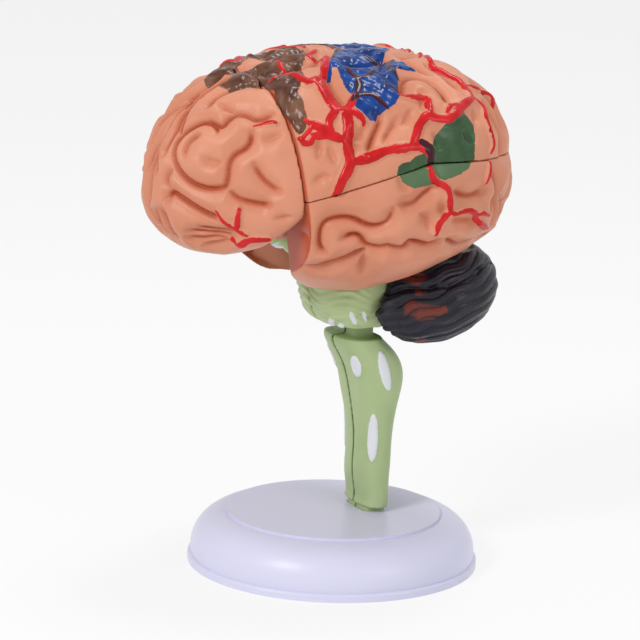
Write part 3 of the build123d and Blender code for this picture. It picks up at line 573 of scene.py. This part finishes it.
def seen_patch(points, normals, outlines):
    """Signed distance in millimetres to outlines in the photograph, on its side of a piece only."""
    spots = in_photo(points)
    best = np.max([within(spots, np.array(outline, float)) for outline in outlines], 0)
    return np.where(in_sight(points, normals), best * PIXEL_MM, OFF_PAINT)


def seen_line(points, normals, trace):
    """Distance in millimetres to a line in the photograph, on its side of a piece only."""
    spots, trace = in_photo(points), np.array(trace, float)
    best = np.min([to_stretch(spots, start, end)[0] for start, end in zip(trace, trace[1:])], 0)
    return np.where(in_sight(points, normals), best * PIXEL_MM, FAR)


def oval(middle_x, middle_y, half_height, half_width, lean):
    """Outline of an oval in the photograph, leaning to the left at its top."""
    angles = np.linspace(0, 2 * math.pi, OVAL_CORNERS, endpoint=False)
    x, y = half_width * np.sin(angles), -half_height * np.cos(angles)
    turn = math.radians(-lean)
    return np.stack([middle_x + x * math.cos(turn) - y * math.sin(turn),
                     middle_y + x * math.sin(turn) + y * math.cos(turn)], 1)


def within_patch(points, outline):
    """Signed distance of skin points to a patch outlined in the photograph, positive inside."""
    corners = from_photo(outline)
    middle = corners.mean(0)
    normal = skin_normals(onto_skin(middle[None]))[0]
    across = unit(np.cross(normal, (0, 0, 1)))
    upward = np.cross(across, normal)
    flat = np.stack([(corners - middle) @ across, (corners - middle) @ upward], 1)
    result = np.full(len(points), OFF_PAINT)
    for side in (1, -1):
        mirrored = points * (side, 1, 1)
        near = (length_of(mirrored - middle) < PATCH_REACH) & (mirrored[:, 0] > 0)
        if near.any():
            ways = mirrored[near] - middle
            spots = np.stack([ways @ across, ways @ upward], 1)
            result[near] = np.maximum(result[near], within(spots, flat))
    return result


def numbers(items, key):
    """Whole numbers of the corners or faces of a mesh."""
    values = np.zeros(len(items), int)
    items.foreach_get(key, values)
    return values


def vectors(items, key):
    """Vectors of the vertices of a mesh."""
    values = np.zeros(len(items) * 3)
    items.foreach_get(key, values)
    return values.reshape(-1, 3)


def new_object(name, points, faces, scale=MM):
    """Mesh object in the scene, from points in millimetres."""
    mesh = bpy.data.meshes.new(name)
    mesh.from_pydata((points * scale).tolist(), [], faces)
    mesh.validate()
    obj = bpy.data.objects.new(name, mesh)
    bpy.context.scene.collection.objects.link(obj)
    return obj


def remeshed(node, voxel):
    """Evenly meshed copy of a solid: its points in millimetres, their normals and the faces."""
    solid = NODES[node].data
    obj = new_object("draft", vectors(solid.vertices, "co") / MM,
                     [tuple(face.vertices) for face in solid.polygons], scale=1)
    modifier = obj.modifiers.new("even", "REMESH")
    modifier.mode = "VOXEL"
    modifier.voxel_size = voxel
    bpy.context.view_layer.update()
    mesh = bpy.data.meshes.new_from_object(obj.evaluated_get(bpy.context.evaluated_depsgraph_get()))
    points, normals = vectors(mesh.vertices, "co"), vectors(mesh.vertices, "normal")
    corners, starts = numbers(mesh.loops, "vertex_index"), numbers(mesh.polygons, "loop_start")
    faces = [tuple(face) for face in np.split(corners, starts[1:])]
    bpy.data.objects.remove(obj)
    bpy.data.meshes.remove(mesh)
    return points, normals, faces


def relaxed(points, faces, share, times):
    """Points moved by a share towards the mean of their neighbours, a number of times."""
    pairs = np.array([(a, b) for face in faces for a, b in zip(face, face[1:] + face[:1])])
    first, second = pairs[:, 0], pairs[:, 1]
    total = len(points)
    count = np.bincount(first, minlength=total) + np.bincount(second, minlength=total)
    for _ in range(times):
        sums = [np.bincount(first, places[second], total) + np.bincount(second, places[first], total)
                for places in points.T]
        points = points + (np.stack(sums, 1) / np.maximum(count, 1)[:, None] - points) * share
    return points


def dress(name, node, points, faces, values, material):
    """Piece that stands for a solid, with its painted values and its material."""
    obj = new_object(name, points, faces)
    obj.data.polygons.foreach_set("use_smooth", [True] * len(obj.data.polygons))
    for key, value in values.items():
        attribute = obj.data.attributes.new(key, "FLOAT", "POINT")
        attribute.data.foreach_set("value", value.astype(np.float32))
    obj.data.materials.append(material)
    bodies = frame["record"]["behaviour"]["bodies"]
    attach(obj, next(body for body, members in bodies.items() if node in members))
    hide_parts(node)


def shader(name, subsurface=0.0, specular=0.35):
    """New material, with its node tree and its one surface shader."""
    material = bpy.data.materials.new(name)
    material.use_nodes = True
    surface = material.node_tree.nodes["Principled BSDF"]
    surface.inputs["Subsurface Weight"].default_value = subsurface
    surface.inputs["Subsurface Radius"].default_value = SUBSURFACE_SPREAD
    surface.inputs["Subsurface Scale"].default_value = SUBSURFACE_SCALE
    surface.inputs["Specular IOR Level"].default_value = specular
    return material, material.node_tree, surface


def joined(tree, source, socket):
    """Feeds a socket with another socket or with a plain value."""
    if hasattr(source, "links"):
        tree.links.new(source, socket)
    else:
        socket.default_value = source


def noise_of(tree, scale, detail=3.0):
    """Noise from 0 to 1 over a piece, with a scale per metre."""
    coordinates = tree.nodes.new("ShaderNodeTexCoord")
    texture = tree.nodes.new("ShaderNodeTexNoise")
    texture.inputs["Scale"].default_value = scale
    texture.inputs["Detail"].default_value = detail
    tree.links.new(coordinates.outputs["Object"], texture.inputs["Vector"])
    return texture.outputs["Fac"]


def value_of(tree, name):
    """Value of a mesh attribute."""
    attribute = tree.nodes.new("ShaderNodeAttribute")
    attribute.attribute_name = name
    return attribute.outputs["Fac"]


def ramp(tree, source, low, high, start=0.0, end=1.0):
    """Straight change from start at low to end at high, held outside."""
    node = tree.nodes.new("ShaderNodeMapRange")
    for key, value in (("From Min", low), ("From Max", high), ("To Min", start), ("To Max", end)):
        node.inputs[key].default_value = value
    tree.links.new(source, node.inputs["Value"])
    return node.outputs["Result"]


def combined(tree, operation, *sources):
    """Result of an operation on sockets or plain values."""
    node = tree.nodes.new("ShaderNodeMath")
    node.operation = operation
    for socket, source in zip(node.inputs, sources):
        joined(tree, source, socket)
    return node.outputs[0]


def mixed(tree, share, under, over):
    """One colour laid on another by a share; each is a socket or three plain values."""
    node = tree.nodes.new("ShaderNodeMix")
    node.data_type = "RGBA"
    for socket, source in ((node.inputs[0], share), (node.inputs[6], under), (node.inputs[7], over)):
        joined(tree, (*source, 1) if isinstance(source, tuple) else source, socket)
    return node.outputs[2]


def edged(tree, name, unevenness, softness):
    """Mask of a painted value, with an edge made uneven by a noise."""
    height = combined(tree, "ADD", value_of(tree, name), unevenness)
    return ramp(tree, height, -softness, softness)


def complete(tree, surface, colour, roughness, height, strength, distance=GRAIN_DEPTH):
    """Gives a shader its colour, its roughness and its bump."""
    bump = tree.nodes.new("ShaderNodeBump")
    bump.inputs["Strength"].default_value = strength
    bump.inputs["Distance"].default_value = distance
    tree.links.new(height, bump.inputs["Height"])
    tree.links.new(colour, surface.inputs["Base Color"])
    tree.links.new(roughness, surface.inputs["Roughness"])
    tree.links.new(bump.outputs[0], surface.inputs["Normal"])


def lobe_material():
    """Flesh plastic with painted shade in its furrows and along the crosswise cut, and the paints of the
    lobes over it.
    """
    material, tree, surface = shader("painted_flesh", LOBE_SUBSURFACE, LOBE_SPECULAR)
    fine, broad = noise_of(tree, 900.0), noise_of(tree, 60.0)
    streaks = noise_of(tree, 260.0, 6.0)
    hollow = value_of(tree, "furrow")
    # painted shade: darker flesh in the hollows and along the crosswise cut, deepest in the creases
    colour = mixed(tree, ramp(tree, broad, 0.35, 0.65), *FLESH)
    colour = mixed(tree, ramp(tree, hollow, 0.25, 1.3, 0.0, 0.55), colour, SHADED_HOLLOW_FLESH)
    colour = mixed(tree, ramp(tree, hollow, 1.1, 2.0, 0.0, 0.8), colour, CREASE_SHADE_RED)
    edge = ramp(tree, fine, 0.2, 0.8, -0.16, 0.16)
    rough_edge = ramp(tree, streaks, 0.2, 0.8, -0.9, 0.9)
    shade = ramp(tree, streaks, 0.35, 0.68)
    painted = edged(tree, "brown", rough_edge, 0.1)
    colour = mixed(tree, painted, colour, mixed(tree, shade, *BROWN))
    green = mixed(tree, value_of(tree, "lower"), mixed(tree, shade, *GREEN), LOWER_GREEN)
    paints = {"blue": mixed(tree, shade, *BLUE), "green": green, "artery": mixed(tree, shade, *RED),
              "vein": DARK_RED}
    for name, paint in paints.items():
        mask = edged(tree, name, edge, EDGE_SOFTNESS)
        colour = mixed(tree, mask, colour, paint)
        painted = combined(tree, "MAXIMUM", painted, mask)
    gloss = combined(tree, "MULTIPLY", painted, ramp(tree, streaks, 0.3, 0.7, 0.22, 0.12))
    roughness = combined(tree, "SUBTRACT", ramp(tree, broad, 0.3, 0.7, 0.34, 0.42), gloss)
    thick = combined(tree, "MULTIPLY", painted, noise_of(tree, 110.0, 1.0))
    height = combined(tree, "MULTIPLY_ADD", fine, 0.03, thick)
    complete(tree, surface, colour, roughness, height, 0.3, PAINT_RELIEF)
    return material


def stem_material(name, dark, light, groove):
    """Green plastic with pale paint, its parting line and its lump of brighter green."""
    material, tree, surface = shader(name, STEM_SUBSURFACE)
    broad, fine = noise_of(tree, 90.0), noise_of(tree, 1100.0)
    colour = mixed(tree, ramp(tree, broad, 0.32, 0.68), dark, light)
    colour = mixed(tree, ramp(tree, value_of(tree, "groove"), 0.08, 0.45), colour, groove)
    edge = ramp(tree, fine, 0.2, 0.8, -0.12, 0.12)
    for key, paint in (("pale", PALE_PAINT), ("lump", LUMP_GREEN)):
        colour = mixed(tree, edged(tree, key, edge, EDGE_SOFTNESS), colour, paint)
    complete(tree, surface, colour, ramp(tree, broad, 0.3, 0.7, 0.34, 0.46), fine, 0.15)
    return material


def leaf_material():
    """Near-black navy, lighter on the crests of the leaves as a painted highlight, with brick red
    dry-brushed over the crests.
    """
    material, tree, surface = shader("navy_leaves", specular=LEAF_SPECULAR)
    broad, fine = noise_of(tree, 150.0, 5.0), noise_of(tree, 1100.0)
    crest = value_of(tree, "crest")
    colour = mixed(tree, ramp(tree, broad, 0.3, 0.7), *NAVY)
    # painted highlight on the crests of the leaves
    colour = mixed(tree, ramp(tree, crest, 0.55, 1.0, 0.0, 0.5), colour, CREST_HIGHLIGHT)
    ragged = ramp(tree, broad, 0.35, 0.65, -1.6, 0.7)
    brushed = ramp(tree, combined(tree, "ADD", value_of(tree, "brick"), ragged), -0.2, 0.5)
    brushed = combined(tree, "MULTIPLY", brushed, ramp(tree, crest, 0.2, 0.8, 0.15, 0.9))
    colour = mixed(tree, brushed, colour, BRICK)
    complete(tree, surface, colour, ramp(tree, broad, 0.3, 0.7, 0.26, 0.42), fine, 0.15)
    return material


def plain_material(name, colours, roughness, scale=80.0, bump=0.1, subsurface=0.05):
    """Plastic of one colour with faint clouds."""
    material, tree, surface = shader(name, subsurface)
    broad, fine = noise_of(tree, scale), noise_of(tree, 1200.0)
    colour = mixed(tree, ramp(tree, broad, 0.3, 0.7), *colours)
    roughness = ramp(tree, broad, 0.3, 0.7, roughness - 0.05, roughness + 0.05)
    complete(tree, surface, colour, roughness, fine, bump)
    return material


def nearest_lines(points, lines, widths, uneven):
    """Signed distance to the nearest painted line, positive on it, and the share of its relief."""
    best, relief = np.full(len(points), OFF_PAINT), np.zeros(len(points))
    for line, width in zip(lines, widths):
        gap, inset = distance_to_line(points, line)
        taper = LINE_TIP + (1 - LINE_TIP) * smooth(inset, 0, LINE_TAPER)
        half = width * taper * (1 + UNEVEN_WIDTH * uneven)
        best = np.maximum(best, half - gap)
        relief = np.maximum(relief, np.sqrt(np.maximum(0, 1 - (gap / (half + LINE_FOOT)) ** 2)))
    return best, relief


def carved_depth(points, skin):
    """Depth of the hollows between the folds and of the fissure between the hemispheres."""
    depth = np.zeros(len(skin))
    for line in furrows:
        away, inset = distance_to_line(skin, line)
        length = length_of(np.diff(line, axis=0)).sum()
        whole = SHORTEST_DEPTH + (1 - SHORTEST_DEPTH) * smooth(length, SHORT_FURROW, WHOLE_FURROW)
        hollow = pillow(away, FURROW_DEPTH, FURROW_REACH) + notch(away, CREASE_DEPTH, CREASE_REACH)
        depth = np.maximum(depth, hollow * smooth(inset, -0.6, FURROW_FADE) * whole)
    depth *= 1 + UNEVEN_DEPTH * wobble(skin, *DEPTH_WAVES)
    fissure = pillow(np.abs(skin[:, 0]) - SEAM / 2, FISSURE_DEPTH, FISSURE_REACH)
    return np.maximum(depth, fissure * smooth(points[:, 2], AXIS_Z - FISSURE_FADE, AXIS_Z))


def cut_rounding(ahead, over):
    """Depth by which the skin falls away towards the cuts between the lobes."""
    crosswise = pillow(np.maximum(np.abs(ahead) - SEAM / 2, 0), *CROSS_ROUNDING)
    lengthwise = pillow(np.maximum(np.abs(over) - SEAM / 2, 0), *SIDE_ROUNDING)
    return np.maximum(crosswise, np.where(ahead > 0, 0, lengthwise))


def paints_at(skin):
    """Signed distances to the paints of the lobes, and how far they stand out of the skin."""
    uneven = wobble(skin, *WIDTH_WAVES)
    red, red_relief = nearest_lines(skin, arteries, artery_widths, uneven)
    dark, dark_relief = nearest_lines(skin, veins, vein_widths, uneven)
    blue, green, brown = (np.max([within_patch(skin, outline) for outline in outlines], 0)
                          for outlines in (BLUE_PATCHES, GREEN_PATCHES, BROWN_PATCHES))
    thick = PAINT_HEIGHT * smooth(np.maximum(blue, brown), -0.2, 0.5)
    thick *= 1 + UNEVEN_PAINT * wobble(skin, *PAINT_WAVES)
    height = np.max([ARTERY_HEIGHT * red_relief, VEIN_HEIGHT * dark_relief, thick], 0)
    return {"artery": red, "vein": dark, "blue": blue, "green": green, "brown": brown}, height


def rounded_pole(points):
    """Inner front corner of a temporal lobe, rounded."""
    across = np.maximum(POLE_INSET + POLE_ROUND - np.abs(points[:, 0]), 0)
    cut_y = EAR_Y - FRONT_CUT - (points[:, 2] - SIDE_CUT_Z) * math.tan(CUT_LEAN)
    ahead = np.maximum(cut_y + POLE_ROUND - points[:, 1], 0)
    reach = np.hypot(across, ahead)
    excess = np.maximum(reach - POLE_ROUND, 0) / np.maximum(reach, TINY)
    excess *= smooth(points[:, 2], POLE_Z + POLE_FADE, POLE_Z)
    moved = points.copy()
    moved[:, 0] += np.sign(points[:, 0]) * across * excess
    moved[:, 1] += ahead * excess
    return moved


def with_shown_seam(node, points, over):
    """Lobe whose side cut is moved so that the gap is as narrow as it shows."""
    moved = points.copy()
    if "parietal" in node:
        moved[:, 2] -= (SIDE_SEAM / 2 - SHOWN_SEAM) * smooth(over, SEAM_BLEND, SIDE_SEAM / 2)
    if "temporal" in node:
        knee = np.interp(points[:, 1] - EAR_Y, (-FRONT_CUT, SIDE_CUT[1][0], BACK), (0, 1, 0))
        gap = SIDE_SEAM / 2 + KNEE_EASE * knee
        moved[:, 2] += (gap - SHOWN_SEAM) * smooth(over + gap, -SEAM_BLEND, 0)
    return moved


def make_lobe(node, material):
    """Lobe whose outer side follows the skin, with its folds, vessels and thick paint."""
    points, normals, faces = remeshed(node, VOXEL)
    skin = onto_skin(points)
    outward = skin_normals(skin)
    below = length_of(skin - points)
    depth = carved_depth(points, skin)
    ahead, over = before_cut(skin), over_side_cut(skin)
    to_cut = np.minimum(np.abs(ahead), np.where(ahead > 0, FAR, np.abs(over)))
    swell = FOLD_SWELL * (1 - smooth(depth, 0, 0.5)) + UNEVEN_SWELL * wobble(skin, *SWELL_WAVES)
    swell *= smooth(to_cut, 0, SWELL_FADE)
    paints, height = paints_at(skin)
    surface = skin + outward * (height + swell - depth - cut_rounding(ahead, over))[:, None]
    facing = smooth((normals * outward).sum(1), *LOBE_FACING)
    held = facing * (below < OUTER_LAYER + CARVED_LAYER * (depth > CARVED))
    over = over_side_cut(points)
    if "temporal" in node:
        points = rounded_pole(points)
        held *= smooth(length_of(points - skin), *POLE_HOLD)
    points = points + (surface - points) * held[:, None]
    points = with_shown_seam(node, points, over)
    points = relaxed(points, faces, LOBE_EVENING, SOFTENING)
    # painted shade along the crosswise cut, stored with the depth of the folds in the furrow value that
    # darkens the flesh
    shade = notch(np.maximum(np.abs(ahead) - SEAM / 2, 0), *SEAM_SHADE)
    values = {"lower": np.full(len(points), float("temporal" in node)),
              "furrow": np.maximum(depth * held, shade), **paints}
    dress(node + "_moulding", node, points, faces, values, material)


def make_cerebellum(node, material):
    """Half of the cerebellum, its leaves parted by finer grooves that wander."""
    points, normals, faces = remeshed(node, LEAF_VOXEL)
    away = points * to_left(points) - LEAF_CENTRE
    height = away @ LEAF_AXIS
    radial = away - height[:, None] * LEAF_AXIS
    across, upward = length_of(radial) / LEAF_RADIUS, height / LEAF_HALF_HEIGHT
    level = np.hypot(across, upward)
    turn = np.degrees(np.arctan2(upward, across))
    outward = radial / LEAF_RADIUS ** 2 + height[:, None] * LEAF_AXIS / LEAF_HALF_HEIGHT ** 2
    outward = unit(outward) * to_left(points)
    leaf = (turn + 90) * LEAVES / 180 + LEAF_WANDER * wobble(points, *LEAF_WAVES)
    fold = np.abs(np.sin(math.pi * leaf))
    finer = np.abs(np.sin(3 * math.pi * leaf + FINE_WANDER * wobble(points, *FINE_WAVES)))
    fissure = notch(seen_line(points, normals, DEEP_FISSURE), *DEEP_NOTCH)
    lift = LEAF_HEIGHT * np.sqrt(fold) + FINE_HEIGHT * np.sqrt(finer) - LEAF_SINK - fissure
    lift += LEAF_UNEVEN * wobble(points, *HEIGHT_WAVES)
    held = smooth((normals * outward).sum(1), *LEAF_FACING) * smooth(level, 0.9, 0.95)
    surface = points + outward * ((1 - level) * LEAF_HALF_HEIGHT * LEAF_GROWTH + lift)[:, None]
    points = points + (surface - points) * held[:, None]
    points = relaxed(points, faces, STEM_EVENING, 1)
    lobed = points * to_left(points) - FLOCCULUS
    near = smooth(length_of(lobed / FLOCCULUS_SIZE), 1, 0.2)
    near *= smooth(np.abs(points[:, 0]), *FLOCCULUS_INNER)
    reach = FLOCCULUS_REACH + FLOCCULUS_UNEVEN * wobble(points, *FLOCCULUS_WAVES)
    points = points + FLOCCULUS_WAY * to_left(points) * (near * reach)[:, None]
    values = {"crest": (FOLD_SHARE * fold + (1 - FOLD_SHARE) * finer) * held,
              "brick": seen_patch(points, normals, BRICK_PATCHES)}
    dress(node + "_moulding", node, points, faces, values, material)


def make_stem(node, material, fibres):
    """Half of the pons or of the cord, with its parting groove and its pale roots."""
    points, normals, faces = remeshed(node, STEM_VOXEL)
    outer = 1 - smooth(np.abs(normals[:, 0]), 0.9, 0.99) * (np.abs(points[:, 0]) < MIDDLE_FACE)
    parting = notch(points[:, 0], PARTING_DEPTH, PARTING_REACH)
    pale = seen_patch(points, normals, [oval(*spot) for spot in (PALE_DRIPS if fibres else PALE_ROOTS)])
    lump = seen_patch(points, normals, [oval(*spot) for spot in GREEN_LUMPS])
    lift = PALE_HEIGHT * smooth(pale, -0.3, 0.5) + LUMP_HEIGHT * smooth(lump, -0.5, 0.8) - parting
    lift += STEM_UNEVEN * wobble(points, *STEM_WAVES)
    if fibres:
        turns = 2 * math.pi * points[:, 2] / FIBRE_PERIOD + FIBRE_WANDER * wobble(points, *FIBRE_WAVES)
        steep = np.abs(normals[:, 2]) < FIBRE_STEEPNESS
        lift += FIBRE_DEPTH * np.sin(turns) * (1 + wobble(points, *FIBRE_HEIGHT_WAVES)) * steep
        rim = notch(points[:, 2] - PONS_RIM_Z, *PONS_RIM)
        lift += rim * (0.5 + 0.5 * wobble(points, *RIM_WAVES))
    lift = np.clip(lift, DEEPEST, PONS_ROOM if fibres else CORD_ROOM)
    points = points + normals * (lift * outer)[:, None]
    points = relaxed(points, faces, STEM_EVENING, 1)
    values = {"groove": parting * outer, "pale": pale, "lump": lump}
    dress(node + "_moulding", node, points, faces, values, material)


def make_nerves(material):
    """Crossing of the optic nerves, with rounded ends."""
    points, normals, faces = remeshed("optic_chiasm", NERVE_VOXEL)
    front = smooth(points[:, 1], NERVE_CROSSING_Y, NERVE_CROSSING_Y - STUMP_LENGTH)
    points = relaxed(points, faces, *NERVE_EVENING)
    thicker = STUMP_GROWTH * front + NERVE_UNEVEN * wobble(points, *NERVE_WAVES)
    points = points + normals * thicker[:, None]
    points[:, 2] -= STUMP_DROP * front
    points = relaxed(points, faces, *STUMP_EVENING)
    underside = -normals[:, 2] - 0.55 + 0.3 * wobble(points, *NERVE_PAINT_WAVES)
    values = {"groove": np.zeros(len(points)), "lump": np.full(len(points), OFF_PAINT),
              "pale": 0.8 * underside}
    dress("nerve_moulding", "optic_chiasm", points, faces, values, material)


flesh = lobe_material()
navy = leaf_material()
cord_green = stem_material("sage_green", *CORD_GREENS)
pons_green = stem_material("pale_green", *PONS_GREENS)
nerve_green = stem_material("nerve_green", *NERVE_GREENS)
for side in ("left", "right"):
    for lobe in ("frontal", "parietal", "temporal"):
        make_lobe(f"{lobe}_{side}", flesh)
    make_cerebellum(f"cerebellum_{side}", navy)
    make_stem(f"pons_{side}", pons_green, True)
    make_stem(f"cord_{side}", cord_green, False)
make_nerves(nerve_green)

BY_SLOT = {
    "core": plain_material("tan_core", TAN, 0.4),
    "bridge": plain_material("cream_bridge", CREAM, 0.4),
    "stem": plain_material("stem_green", MIDBRAIN_GREEN, 0.42),
    "stand": plain_material("lavender_stand", LAVENDER, 0.32, scale=20.0, bump=0.04, subsurface=0.0),
    "cerebellum": navy,
    "lobe": flesh,
}
for part in frame["record"]["subparts"]:
    mesh = NODES[part["node"]].data
    mesh.materials.clear()
    mesh.materials.append(BY_SLOT[part["material_slot"]])


def soft_lamp(name, place, size, power):
    """Square lamp that shines on the middle of the object; place and size in metres."""
    lamp = bpy.data.lights.new(name, "AREA")
    lamp.size = size
    lamp.energy = power
    obj = bpy.data.objects.new(name, lamp)
    obj.location = place
    obj.rotation_euler = (LAMP_AIM - Vector(place)).to_track_quat("-Z", "Y").to_euler()
    bpy.context.scene.collection.objects.link(obj)


def direct_rays(tree):
    """1 for what the camera sees, also in gloss and through glass, 0 for the light on the object."""
    path = tree.nodes.new("ShaderNodeLightPath")
    seen = combined(tree, "MAXIMUM", path.outputs["Is Camera Ray"], path.outputs["Is Glossy Ray"])
    return combined(tree, "MAXIMUM", seen, path.outputs["Is Transmission Ray"])


def blended(tree, share, under, over, output):
    """Feeds an output with one shader laid on another by a share."""
    blend = tree.nodes.new("ShaderNodeMixShader")
    for socket, source in zip(blend.inputs, (share, under.outputs[0], over.outputs[0])):
        tree.links.new(source, socket)
    tree.links.new(blend.outputs[0], tree.nodes[output].inputs["Surface"])


def make_stage():
    """Pale floor and even room light, which show white behind the object."""
    corners = np.array([(-1, -1, 0), (1, -1, 0), (1, 1, 0), (-1, 1, 0)]) * FLOOR_REACH
    floor = new_object("floor", corners, [(0, 1, 2, 3)], scale=1)
    material, tree, surface = shader("pale_floor")
    surface.inputs["Base Color"].default_value = (*FLOOR_GREY, 1)
    surface.inputs["Roughness"].default_value = 0.6
    glow = tree.nodes.new("ShaderNodeEmission")
    whiteness = combined(tree, "MULTIPLY", direct_rays(tree), FLOOR_WHITENESS)
    blended(tree, whiteness, surface, glow, "Material Output")
    floor.data.materials.append(material)
    world = bpy.data.worlds.new("studio")
    world.use_nodes = True
    tree = world.node_tree
    room = tree.nodes["Background"]
    room.inputs["Color"].default_value = (1, 1, 1, 1)
    room.inputs["Strength"].default_value = ROOM_LIGHT
    backdrop = tree.nodes.new("ShaderNodeBackground")
    blended(tree, direct_rays(tree), room, backdrop, "World Output")
    bpy.context.scene.world = world


make_stage()
soft_lamp("key", (0.35, -0.85, 0.70), 0.3, 5.5)
soft_lamp("fill", (0.95, 0.35, 0.45), 0.5, 1.9)
soft_lamp("top", (-0.1, 0.2, 1.0), 0.25, 2.4)

camera = bpy.data.objects.new("camera", bpy.data.cameras.new("camera"))
camera.data.sensor_width = SENSOR
camera.data.lens = FOCAL_PIXELS / PHOTO_SIZE * SENSOR
pose = np.eye(4)
pose[:3] = np.stack([RIGHT, UP, -AHEAD, CAMERA_PLACE * MM], 1)
camera.matrix_world = Matrix(pose)
bpy.context.scene.collection.objects.link(camera)
bpy.context.scene.camera = camera
bpy.context.scene.view_settings.view_transform = "Standard"
